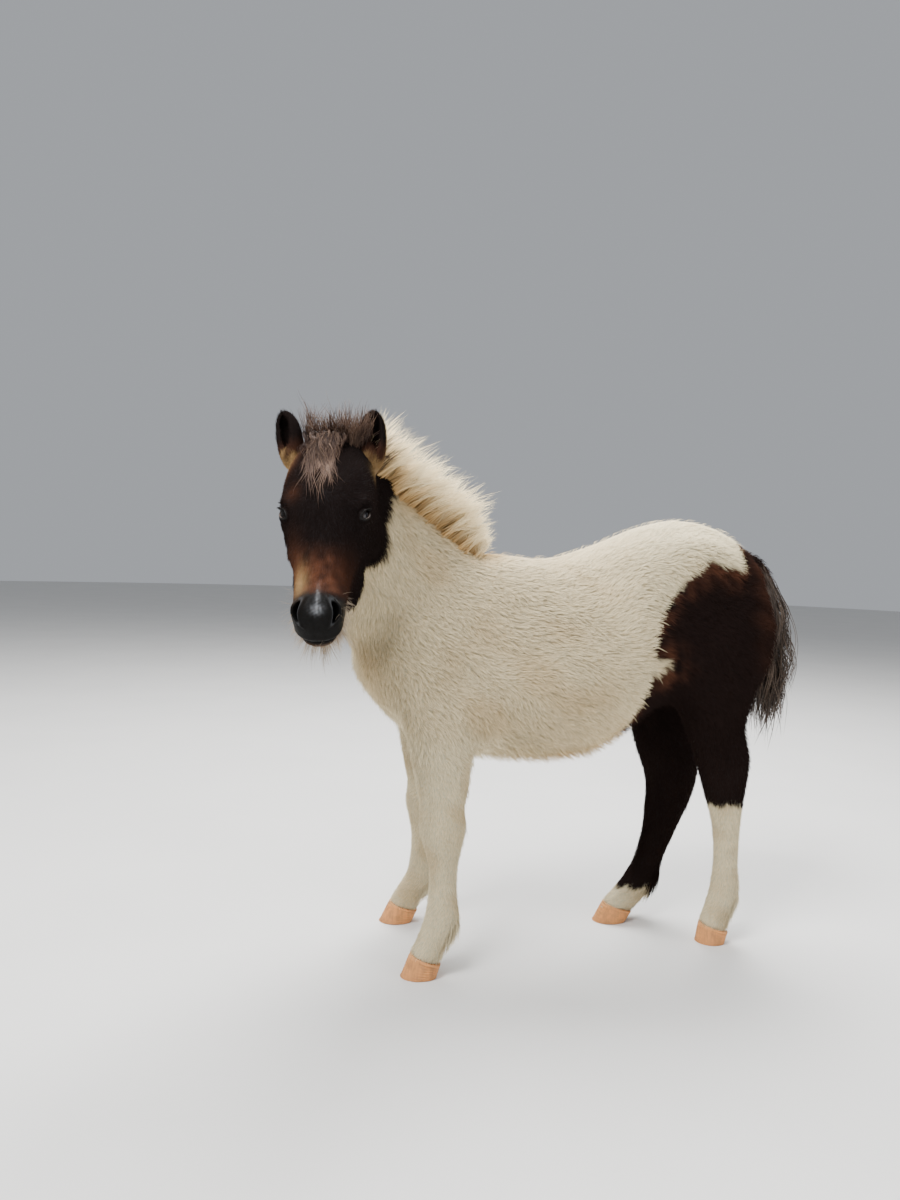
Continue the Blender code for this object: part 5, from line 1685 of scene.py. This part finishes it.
class PONY_OT_add_eyes(PonyPiece):
    """Add the eyes, their lids and lashes"""

    bl_idname = "pony.add_eyes"
    bl_label = "Add Eyes"

    def build(self, scene):
        material, lids = eye_material(), self.lid_material()
        dice = np.random.default_rng(SEED + 30)
        for hand, side in SIDES:
            place = eye_seat(hand)
            self.eyeball(place, side, material)
            mesh = self.lid_mesh(side, -hand)
            mesh.transform(place)
            self.lid_fur(scene.pony_coat, mesh, np.array(place), side, -hand, dice)
            mesh.shade_smooth()
            dress(f"lids_{side}", mesh, lids)
            self.lashes(np.array(place), side, -hand, dice)

    def eyeball(self, place, side, material):
        """The ball with its bulging cornea, its round iris and its long pupil."""
        turned = Matrix.Scale(EYE_RADIUS, 4) @ Matrix.Rotation(math.pi / 2, 4, "Y")
        mesh = ball_mesh(f"eyeball_{side}", turned, 48, 32)
        points = coordinates(mesh)
        points[:, 0] += 0.0010 * smooth(0.60, 1.0, points[:, 0] / EYE_RADIUS)
        place_points(mesh, points)
        ahead = points[:, 0] > 0
        set_values(mesh, "iris", smooth(0.0112, 0.0096, np.hypot(points[:, 1], points[:, 2])) * ahead)
        set_values(mesh, "pupil", smooth(0.0036, 0.0028, np.hypot(points[:, 1] / 1.9, points[:, 2])) * ahead)
        mesh.transform(place)
        mesh.shade_smooth()
        dress(f"eyeball_{side}", mesh, material, [f"eye_{side}"])

    def lid_material(self):
        material, tree, shader = new_material("lid_skin", 0.55, 0.12)
        colour = blend_colour(tree, noise(tree, 300.0), (0.004, 0.004, 0.004, 1), (0.012, 0.010, 0.009, 1))
        # Painted highlight: a pale line along the wet rim of the lower lid.
        colour = blend_colour(tree, value_of(tree, "wet"), colour, (0.19, 0.15, 0.13, 1))
        tree.links.new(colour, shader.inputs["Base Color"])
        add_bump(tree, shader, noise(tree, 500.0, 3.0), 0.0004)
        return material

    def opening(self, turn, upper):
        """A point of the almond-shaped edge of the lids, the upper lid on the side named."""
        rise = math.sin(turn) * upper
        half = 0.0064 if rise > 0 else 0.0052
        y = EYE_CORNER * math.cos(turn)
        z = upper * half * math.copysign(abs(rise) ** 1.2, rise)
        c, s = math.cos(EYE_TILT), math.sin(EYE_TILT) * upper
        return y * c - z * s, y * s + z * c

    def lid_mesh(self, side, upper):
        """Both lids as one thick ring over the eyeball, rolled in at the edge."""
        around = 44
        bm = bmesh.new()
        rows, wet = [], []
        for k in range(around):
            turn = 2 * math.pi * k / around
            edge_y, edge_z = self.opening(turn, upper)
            far_y, far_z = LID_REACH * math.cos(turn), LID_REACH * math.sin(turn)
            points = []
            for t, rise in LID_PROFILE:
                radius = EYE_RADIUS + LID_GAP + rise
                y = far_y + (edge_y - far_y) * t
                z = far_z + (edge_z - far_z) * t
                flat = min(math.hypot(y, z), radius * 0.995)
                points.append(bm.verts.new(Vector((math.sqrt(radius**2 - flat**2), y, z))))
                # The lower lid's rim takes the painted highlight.
                wet.append(float(t > 0.96) * max(0.0, -math.sin(turn) * upper))
            rows.append(points)
        for k in range(around):
            a, b = rows[k], rows[(k + 1) % around]
            for j in range(len(LID_PROFILE) - 1):
                bm.faces.new((a[j], b[j], b[j + 1], a[j + 1]))
        bmesh.ops.recalc_face_normals(bm, faces=bm.faces)
        if sum(face.normal.x for face in bm.faces) < 0:
            bmesh.ops.reverse_faces(bm, faces=bm.faces)
        mesh = bpy.data.meshes.new(f"lids_{side}")
        bm.to_mesh(mesh)
        bm.free()
        set_values(mesh, "wet", np.array(wet))
        return mesh

    def lid_fur(self, settings, mesh, place, side, upper, dice):
        """Short hair on the lids, pointing away from their edge."""
        roots, out = rooted(surface_of(mesh), TUFTS_LID, dice)
        local = into(place, roots)
        c, s = math.cos(EYE_TILT), math.sin(EYE_TILT) * upper
        along, over = local[:, 1] * c + local[:, 2] * s, local[:, 2] * c - local[:, 1] * s
        edge = np.hypot(along / 0.0124, over / 0.0074)
        keep = edge > 1.0
        roots, out, local = roots[keep], out[keep], local[keep]
        count = len(roots)
        away = np.stack([np.zeros(count), local[:, 1] * 0.6, local[:, 2]], axis=1)
        lie = unit(unit(away) + 0.25 * dice.normal(size=(count, 3)))
        lie = laid_flat(lie @ place[:3, :3].T + 0.5 * HEAD_TURNS[:, 0], out)
        length = dice.uniform(0.0022, 0.0042, count)
        path = np.stack([roots - out * 0.0003, roots + lie * length[:, None] + out * 0.0009], axis=1)
        masks = markings(roots)
        short_fur(f"coat_lids_{side}", settings, path, 0.0008, out, masks, roots, dice)

    def lashes(self, place, side, upper, dice):
        count = 46
        turns = (np.linspace(0.16, math.pi - 0.16, count) + dice.normal(0, 0.03, count)) * upper
        path = np.empty((count, 5, 3))
        for k, turn in enumerate(turns):
            y, z = self.opening(turn, upper)
            radius = EYE_RADIUS + 0.0028
            start = np.array((math.sqrt(radius**2 - y**2 - z**2), y, z))
            aim = unit(np.array((0.90, 0.35 * y / 0.0122, 0.25 * upper)))
            for m in range(5):
                t = m / 4
                drop = np.array((0.0, 0.25, -0.10 * upper)) * t * t
                path[k, m] = start + (aim * t + drop) * 0.0105 * dice.uniform(0.97, 1.03)
        path = out_of(place, path)
        widths = np.tile(0.0006 * np.array((1.0, 0.9, 0.7, 0.4, 0.1)), (count, 1))
        name, flats, light = f"lashes_{side}", place[:3, 2], np.zeros(count)
        hair_piece(name, dark_hair(), path, widths, 0.5, flats, light, path[:, 0], dice)


def dark_hair():
    name = "dark_hair"
    if name in bpy.data.materials:
        return bpy.data.materials[name]
    dark, light = (0.010, 0.008, 0.007), (0.10, 0.07, 0.05)
    # Painted shade at the lashes' roots and painted light at their tips.
    return hair_material(name, dark, light, (0.8, 0.8, 0.8), (1.1, 1.1, 1.1), 0.3)


def hoof_rings(leg, rows, sides, growth):
    """A hoof from its flat sole up to the coronet, with growth rings round its wall."""
    front, rear, y, half = LEGS[leg][-1]
    toe, heel, _ = HOOF_REACH[leg]
    sole_front = Vector((front[0] - toe, y, FLOOR))
    sole_rear = Vector((rear[0] - heel, y, FLOOR))
    front, rear = (Vector(end) for end in coronet(leg))
    slope = (front - rear).normalized()
    top_front = front - slope * 0.0015
    top_rear = rear + slope * 0.0015
    rings = []
    for k in range(rows):
        t = k / (rows - 1)
        a = sole_front.lerp(top_front, t)
        b = sole_rear.lerp(top_rear, t)
        wide = SOLE_HALF_WIDTH + (half - 0.0015 - SOLE_HALF_WIDTH) * t
        swell = 0.00035 * math.sin(2 * math.pi * growth * t) + 0.0010 * math.exp(-(((t - 0.93) / 0.05) ** 2))
        swell -= 0.0014 * math.exp(-((t / 0.03) ** 2))
        a, b = a - slope * swell, b + slope * swell * 0.4
        rings.append(ring(a, b, (0, 1, 0), wide + swell, 0.52, 2.0, 2.6, sides))
    return rings


class PONY_OT_add_hooves(PonyPiece):
    """Add the four hooves"""

    bl_idname = "pony.add_hooves"
    bl_label = "Add Hooves"

    def build(self, scene):
        settings = scene.pony_hoof
        material = self.horn(settings)
        for leg in LEGS:
            foot = "hoof_" + leg.replace("leg", "")
            name = foot.replace("hoof_", "horn_")
            mesh = loft_mesh(name, hoof_rings(leg, 44, 48, settings.rings))
            points = coordinates(mesh)
            points[:, 2] = np.maximum(points[:, 2], FLOOR)
            place_points(mesh, points)
            low, high = FLOOR, coronet(leg)[0][2]
            set_values(mesh, "height", np.clip((points[:, 2] - low) / (high - low), 0, 1))
            mesh.shade_smooth()
            mesh.set_sharp_from_angle(angle=math.radians(50))
            dress(name, mesh, material, [foot])

    def horn(self, settings):
        material, tree, shader = new_material("horn", 0.6, 0.25)
        height = value_of(tree, "height")
        streak = noise(tree, 240.0, 4.0, (1.0, 1.0, 0.10))
        fresh, worn = (*settings.horn, 1), (*settings.horn_dark, 1)
        colour = blend_colour(tree, ranged(tree, streak, 0.35, 0.65), fresh, worn)
        colour = blend_colour(tree, ranged(tree, height, 0.0, 0.35, 0.75, 0.0), colour, worn)
        rim = ranged(tree, height, 0.80, 0.98, 0.0, 0.55)
        colour = blend_colour(tree, rim, colour, (0.68, 0.38, 0.16, 1))
        dirt = ranged(tree, noise(tree, 60.0, 5.0), 0.52, 0.75)
        colour = blend_colour(tree, maths(tree, "MULTIPLY", dirt, 0.5), colour, (0.13, 0.085, 0.055, 1))
        tree.links.new(colour, shader.inputs["Base Color"])
        tree.links.new(ranged(tree, streak, 0.2, 0.8, 0.55, 0.75), shader.inputs["Roughness"])
        add_bump(tree, shader, streak, 0.0005)
        return material


def keep_off(path, tree, clearance):
    """Moves points of the strands out of a surface so that they stand clear of it."""
    flat = path.reshape(-1, 3)
    for k, point in enumerate(flat):
        near, normal, _, distance = tree.find_nearest(Vector(point))
        if near is None or distance > 0.05:
            continue
        if (Vector(point) - near).dot(normal) < 0 or distance < clearance:
            flat[k] = near + normal * clearance
    return flat.reshape(path.shape)


def skin_tree():
    return BVHTree.FromPolygons(SKIN["points"].tolist(), SKIN["corners"].tolist())


class PONY_OT_add_mane(PonyPiece):
    """Add the bristling mane"""

    bl_idname = "pony.add_mane"
    bl_label = "Add Mane"

    def build(self, scene):
        settings = scene.pony_hair
        dice = np.random.default_rng(SEED + 40)
        count, per, steps = 430, 14, 6
        crest, throat, _, side = neck_rows(80)
        up = unit(crest - throat)
        ahead = unit(np.gradient(crest, axis=0))
        share = (np.arange(count) + dice.random(count)) / count
        place = 10.0 + share * 67.0
        low = np.minimum(place.astype(int), 78)
        part = (place - low)[:, None]

        def at(rows):
            return rows[low] * (1 - part) + rows[low + 1] * part

        root, up, side, ahead = at(crest), unit(at(up)), unit(at(side)), unit(at(ahead))
        lean = np.clip(dice.normal(0.0, 0.45, count), -1.0, 1.0)
        swell = np.minimum.reduce([np.ones(count), 0.62 + 2.4 * (1.0 - share), 0.35 + 2.6 * share])
        peaks = 1.0 + 0.09 * ripple(root, 0.045, 41)
        length = settings.mane * swell * peaks * dice.uniform(0.66, 1.08, count) * (1 - 0.20 * np.abs(lean))
        back = np.clip(dice.normal(0.22, 0.22, count), -0.25, 0.75) * np.minimum(1.0, 4.0 * share)
        root = root + side * (lean * 0.020)[:, None] - up * (0.016 + 0.012 * np.abs(lean))[:, None]
        phase = dice.uniform(0, 6.28, count)

        def lock_at(t):
            reach = (length + 0.014) * t
            curl = 0.0050 * np.sin(6.5 * t + phase) * t
            upwards = up * (reach * (1 - 0.12 * t * np.abs(lean)))[:, None]
            sideways = side * (lean * 0.50 * reach + curl)[:, None]
            return root + upwards + sideways - ahead * (back * reach * t + curl)[:, None]

        brown = smooth(0.84, 0.97, share + dice.normal(0, 0.05, count))
        path = drawn_locks(guides_through(steps, lock_at), per, 0.0100, 0.0068, dice)
        taper = (0.9, 1.0, 1.0, 0.85, 0.55, 0.1)
        widths = np.outer(dice.uniform(0.0008, 0.0015, len(path)), taper)
        # Golden painted shade at the mane's roots and painted light at its tips.
        material = hair_material(
            "mane_hair", settings.brown, settings.mane_colour, (0.60, 0.38, 0.17), (1.10, 1.10, 1.08), 0.22
        )
        outward = up * 0.9 + side * lean[:, None] * 1.2
        roots, flats, soft = (np.repeat(rows, per, axis=0) for rows in (root, side, outward))
        soft = unit(soft + np.array((-0.25, -0.45, 0.2)))
        light = np.repeat(1 - brown, per)
        hair_piece("mane", material, path, widths, 0.3, flats, light, roots, dice, soft)


class PONY_OT_add_forelock(PonyPiece):
    """Add the forelock, standing between the ears and falling on the forehead"""

    bl_idname = "pony.add_forelock"
    bl_label = "Add Forelock"

    def build(self, scene):
        settings = scene.pony_hair
        dice = np.random.default_rng(SEED + 50)
        # Painted shade at the forelock's roots and painted light at its tips.
        material = hair_material(
            "forelock_hair", settings.brown, settings.bleached, (0.70, 0.68, 0.66), (1.25, 1.20, 1.15), 0.50
        )
        self.falling(settings, dice, skin_tree(), material)
        self.standing(settings, dice, material)

    def falling(self, settings, dice, tree, material):
        count, per, steps = 60, 14, 12
        lateral = np.clip(dice.normal(-0.010, 0.015, count), -0.038, 0.026)
        length = settings.forelock * (0.32 + 1.00 * dice.beta(1.0, 1.3, count))
        length = length * np.exp(-(((lateral + 0.010) / 0.034) ** 2))
        drift = dice.normal(-0.04, 0.26, count)
        phase = dice.uniform(0, 6.28, count)
        pace = dice.uniform(7.0, 12.0, count)
        swing = dice.uniform(0.0020, 0.0065, count)
        layer = dice.uniform(0.000, 0.010, count)

        def lock_at(t):
            reach = length * t
            wave = swing * min(1.0, 2.5 * t)
            s = lateral * (1 - 0.25 * t) + drift * reach * 0.5 + wave * np.sin(pace * t + phase)
            h = 0.006 + 0.003 * t + layer * math.sin(math.pi * min(1.0, 0.20 + 0.8 * t))
            return from_head(np.stack([-0.010 + reach, s, h + 0.6 * wave * np.cos(pace * t + phase)], axis=1))

        path = drawn_locks(guides_through(steps, lock_at), per, 0.0042, 0.0060, dice)
        total = len(path)
        roots = path[:, 0].copy()
        along = -0.006 + 0.018 * dice.random(total)
        path[:, 0] = from_head(np.stack([along, np.repeat(lateral, per), np.full(total, -0.008)], axis=1))
        path[:, 1:] = keep_off(path[:, 1:], tree, 0.0035)
        taper = np.interp(np.linspace(0, 1, steps), (0, 0.7, 1.0), (1.0, 0.85, 0.1))
        widths = np.outer(dice.uniform(0.0005, 0.0011, total), taper)
        light = lightness(dice.beta(1.0, 1.8, count), per, 0.3, dice)
        flats = HEAD_TURNS[:, 2]
        hair_piece("forelock_fall", material, path, widths, 0.35, flats, light, roots, dice)

    def standing(self, settings, dice, material):
        count, per, steps = 92, 14, 9
        lateral = dice.uniform(-0.036, 0.050, count)
        length = settings.forelock * dice.uniform(0.35, 0.74, count)
        phase = dice.uniform(0, 6.28, count)
        pace = dice.uniform(4.0, 10.0, count)
        spread = lateral * 7 + dice.normal(0, 0.35, count)
        lean = np.clip(dice.normal(0.0, 0.30, count), -0.36, 0.36)
        forward = dice.random(count)

        def lock_at(t):
            reach = length * t
            s = lateral + spread * reach * 0.45 + 0.0050 * t * np.sin(pace * t + phase)
            u = 0.004 - reach * (0.82 - lean * t) + 0.030 * forward * t**2
            h = -0.016 + reach * (0.50 + 0.30 * forward + lean * t) + 0.004 * t * np.cos(pace * t + phase)
            return from_head(np.stack([u, s, h - 0.028 * (1 - forward) * (1 - t * 0.3)], axis=1))

        path = drawn_locks(guides_through(steps, lock_at), per, 0.0085, 0.0070, dice)
        taper = np.interp(np.linspace(0, 1, steps), (0, 0.6, 1.0), (1.0, 0.8, 0.1))
        widths = np.outer(dice.uniform(0.0005, 0.0011, len(path)), taper)
        light = lightness(dice.beta(1.2, 1.6, count), per, 0.25, dice)
        roots, flats = path[:, 0], HEAD_TURNS[:, 2]
        hair_piece("forelock_crown", material, path, widths, 0.35, flats, light, roots, dice)


class PONY_OT_add_tail(PonyPiece):
    """Add the bushy tail"""

    bl_idname = "pony.add_tail"
    bl_label = "Add Tail"

    def build(self, scene):
        settings = scene.pony_hair
        dice = np.random.default_rng(SEED + 60)
        count, per, steps = 210, 10, 12
        dock = table_curve([(*point, radius) for point, radius in DOCK], 60)
        share = (np.arange(count) + dice.random(count)) / count
        rows = dock[(8 + 50 * share).astype(int)]
        angle = dice.uniform(0, 2 * math.pi, count)
        radial = np.stack([np.cos(angle), np.sin(angle), np.zeros(count)], axis=1)
        cross = np.stack([-radial[:, 1], radial[:, 0], np.zeros(count)], axis=1)
        length = settings.tail * dice.uniform(0.66, 1.10, count) * (0.95 - 0.10 * share)
        depth = dice.random(count) ** 0.6
        flare = (0.058 - 0.016 * share) * depth * dice.uniform(0.80, 1.12, count)
        phase, pace = dice.uniform(0, 6.28, count), dice.uniform(6.0, 11.0, count)
        swing = dice.uniform(0.0025, 0.0080, count)

        def lock_at(t):
            out = flare * math.sin(min(1.0, 0.10 + 1.15 * t) * math.pi * 0.62)
            out = out * (1.0 - 0.60 * max(0.0, t - 0.50) / 0.50 * (0.4 + 0.6 * share))
            wave = swing * np.sin(pace * t + phase) * min(1.0, 2.5 * t)
            sink = np.array((0.0, 0.0, -1.0)) * (length * t)[:, None]
            bow = np.array((0.010 * math.sin(math.pi * t), 0.0, 0.0))
            spread = radial * (0.002 + out + 0.6 * wave)[:, None] + cross * wave[:, None]
            return rows[:, :3] + spread + sink + bow

        path = drawn_locks(guides_through(steps, lock_at), per, 0.0125, 0.0115, dice)
        path[:, 1:] = keep_off(path[:, 1:], skin_tree(), 0.006)
        for _ in range(3):
            path[:, 1:-1] = (path[:, :-2] + 2 * path[:, 1:-1] + path[:, 2:]) / 4
        taper = np.interp(np.linspace(0, 1, steps), (0, 0.2, 0.7, 1.0), (0.8, 1.0, 0.85, 0.1))
        widths = np.outer(dice.uniform(0.0009, 0.0022, len(path)), taper)
        pale = np.clip(dice.beta(1.1, 2.8, count) + 0.22 * (depth > 0.80), 0, 1)
        light = lightness(pale, per, 0.18, dice)
        # Painted shade at the tail hair's roots and painted light at its tips.
        material = hair_material(
            "tail_hair", settings.tail_dark, settings.tail_light, (0.75, 0.75, 0.75), (1.25, 1.20, 1.15), 0.35
        )
        roots, flats = np.repeat(rows[:, :3], per, axis=0), np.repeat(radial, per, axis=0)
        hair_piece("tail_locks", material, path, widths, 0.32, flats, light, roots, dice)


class PONY_OT_add_whiskers(PonyPiece):
    """Add the hair under the chin and round the muzzle"""

    bl_idname = "pony.add_whiskers"
    bl_label = "Add Whiskers"

    def build(self, scene):
        settings = scene.pony_hair
        dice = np.random.default_rng(SEED + 70)
        # Painted shade at the chin hair's roots and painted light at its tips.
        material = hair_material(
            "chin_hair", (0.05, 0.04, 0.035), settings.chin_colour, (0.85, 0.80, 0.72), (1.1, 1.1, 1.1), 0.3
        )
        self.chin(settings, dice, material)
        self.muzzle(dice, material)

    def chin(self, settings, dice, material):
        count, per, steps = 180, 12, 5
        side = dice.uniform(-1, 1, count)
        length = settings.chin * (0.25 + 0.80 * dice.beta(1.2, 2.0, count)) * (1 - 0.25 * np.abs(side))
        u = 0.244 + 0.060 * dice.random(count) * (1 - 0.4 * np.abs(side))
        phase = dice.uniform(0, 6.28, count)
        lean = dice.normal(0, 0.16, count)

        def lock_at(t):
            s = side * (0.022 + 0.020 * t) + 0.003 * t * np.sin(4 * t + phase) + lean * length * t
            h = -0.064 + 0.016 * side**2 - length * t * 0.44 + 0.002 * t * np.cos(5 * t + phase)
            return from_head(np.stack([u + length * 0.90 * t, s, h], axis=1))

        path = drawn_locks(guides_through(steps, lock_at), per, 0.0040, 0.0050, dice)
        total = len(path)
        widths = np.outer(dice.uniform(0.0005, 0.0010, total), (1.0, 0.95, 0.8, 0.55, 0.1))
        light, flats = 0.65 + 0.35 * dice.random(total), HEAD_TURNS[:, 2]
        hair_piece("chin_hair", material, path, widths, 0.4, flats, light, path[:, 0], dice)

    def muzzle(self, dice, material):
        roots, out = rooted(SKIN, lambda places: WHISKERS * self.on_muzzle(places), dice)
        count = len(roots)
        length = dice.uniform(0.010, 0.034, count)
        aim = unit(out + 0.35 * dice.normal(size=(count, 3)) + np.array((0, 0, -0.25)))

        def whisker_at(t):
            fall = np.array((0, 0, -0.25)) * (length * t * t)[:, None]
            return roots - out * 0.001 + aim * (length * t)[:, None] + fall

        path = guides_through(5, whisker_at)
        widths = np.tile(0.00030 * np.array((1.0, 0.9, 0.8, 0.6, 0.1)), (count, 1))
        light = 0.5 + 0.5 * dice.random(count)
        hair_piece("whiskers", material, path, widths, 0.5, out, light, roots, dice)

    def on_muzzle(self, points):
        u, s, h = to_head(points).T
        side = (np.abs(s) > 0.034) | (h < -0.045)
        return (near_head(points) > 0) & (u > 0.248) & side


class PONY_OT_add_stage(PonyPiece):
    """Add the floor, the lights and the camera"""

    bl_idname = "pony.add_stage"
    bl_label = "Add Stage"

    def build(self, scene):
        settings = scene.pony_stage
        self.floor(settings)
        self.lights(scene, settings)
        self.camera(scene)

    def floor(self, settings):
        bm = bmesh.new()
        bmesh.ops.create_circle(bm, cap_ends=True, segments=96, radius=14.0)
        floor = link("floor", finish_mesh(bm, "floor"))
        material, tree, shader = new_material("floor", 0.75, 0.3)
        shade = ranged(tree, noise(tree, 3.0, 5.0), 0.3, 0.7, 0.0, 1.0)
        low = tuple(0.96 * c for c in settings.floor)
        colour = blend_colour(tree, shade, (*low, 1), (*settings.floor, 1))
        tree.links.new(colour, shader.inputs["Base Color"])
        floor.data.materials.append(material)

    def lights(self, scene, settings):
        world = bpy.data.worlds.new("room")
        scene.world = world
        world.use_nodes = True
        sky = world.node_tree.nodes["Background"]
        sky.inputs["Color"].default_value = (*settings.room, 1)
        sky.inputs["Strength"].default_value = 0.46
        for name, place, aim, size, power in (
            ("key", (-1.95, -1.4, 3.9), (-0.1, 0.0, 0.5), 1.5, settings.key),
            ("fill", (2.8, -2.8, 1.8), (0.1, 0.0, 0.5), 2.6, settings.key * 0.22),
            ("rim", (0.7, 1.5, 3.6), (0.0, 0.0, 0.6), 2.0, settings.key * 1.15),
        ):
            light = bpy.data.lights.new(name, "AREA")
            light.size = size
            light.energy = power
            lamp = bpy.data.objects.new(name, light)
            scene.collection.objects.link(lamp)
            lamp.location = place
            lamp.rotation_mode = "QUATERNION"
            lamp.rotation_quaternion = (Vector(aim) - Vector(place)).to_track_quat("-Z", "Y")

    def camera(self, scene):
        ahead = Vector((-math.sin(CAMERA_TURN), math.cos(CAMERA_TURN), 0.0))
        right = Vector((math.cos(CAMERA_TURN), math.sin(CAMERA_TURN), 0.0))
        up = Vector((0, 0, 1))
        gaze = ahead * math.cos(CAMERA_DIP) - up * math.sin(CAMERA_DIP)
        upright = ahead * math.sin(CAMERA_DIP) + up * math.cos(CAMERA_DIP)
        turn = Matrix((right, upright, -gaze)).transposed() @ Matrix.Rotation(CAMERA_ROLL, 3, "Z")
        data = bpy.data.cameras.new("view")
        data.sensor_fit = "AUTO"
        data.sensor_width = 36.0
        data.lens = CAMERA_LENS
        camera = bpy.data.objects.new("view", data)
        scene.collection.objects.link(camera)
        camera.matrix_world = Matrix.Translation(CAMERA_PLACE + OFFSET) @ turn.to_4x4()
        scene.camera = camera


PIECES = (
    PONY_OT_add_skin,
    PONY_OT_add_coat,
    PONY_OT_add_ears,
    PONY_OT_add_eyes,
    PONY_OT_add_hooves,
    PONY_OT_add_mane,
    PONY_OT_add_forelock,
    PONY_OT_add_tail,
    PONY_OT_add_whiskers,
    PONY_OT_add_stage,
)
SETTINGS = {
    "pony_coat": PonyCoatSettings,
    "pony_hair": PonyHairSettings,
    "pony_hoof": PonyHoofSettings,
    "pony_stage": PonyStageSettings,
}


class VIEW3D_PT_pony(bpy.types.Panel):
    """The pony's pieces and settings"""

    bl_label = "Shetland Pony Foal"
    bl_space_type = "VIEW_3D"
    bl_region_type = "UI"
    bl_category = "Pony"

    def draw(self, context):
        layout = self.layout
        for piece in PIECES:
            layout.operator(piece.bl_idname)
        for key, group in SETTINGS.items():
            box = layout.box()
            for field in group.__annotations__:
                box.prop(getattr(context.scene, key), field)


CLASSES = (*SETTINGS.values(), *PIECES, VIEW3D_PT_pony)


def register():
    for item in CLASSES:
        bpy.utils.register_class(item)
    for key, group in SETTINGS.items():
        setattr(bpy.types.Scene, key, PointerProperty(type=group))


def unregister():
    for key in SETTINGS:
        delattr(bpy.types.Scene, key)
    for item in reversed(CLASSES):
        bpy.utils.unregister_class(item)


def main():
    register()
    for piece in PIECES:
        group, name = piece.bl_idname.split(".")
        getattr(getattr(bpy.ops, group), name)()


if __name__ == "__main__":
    main()
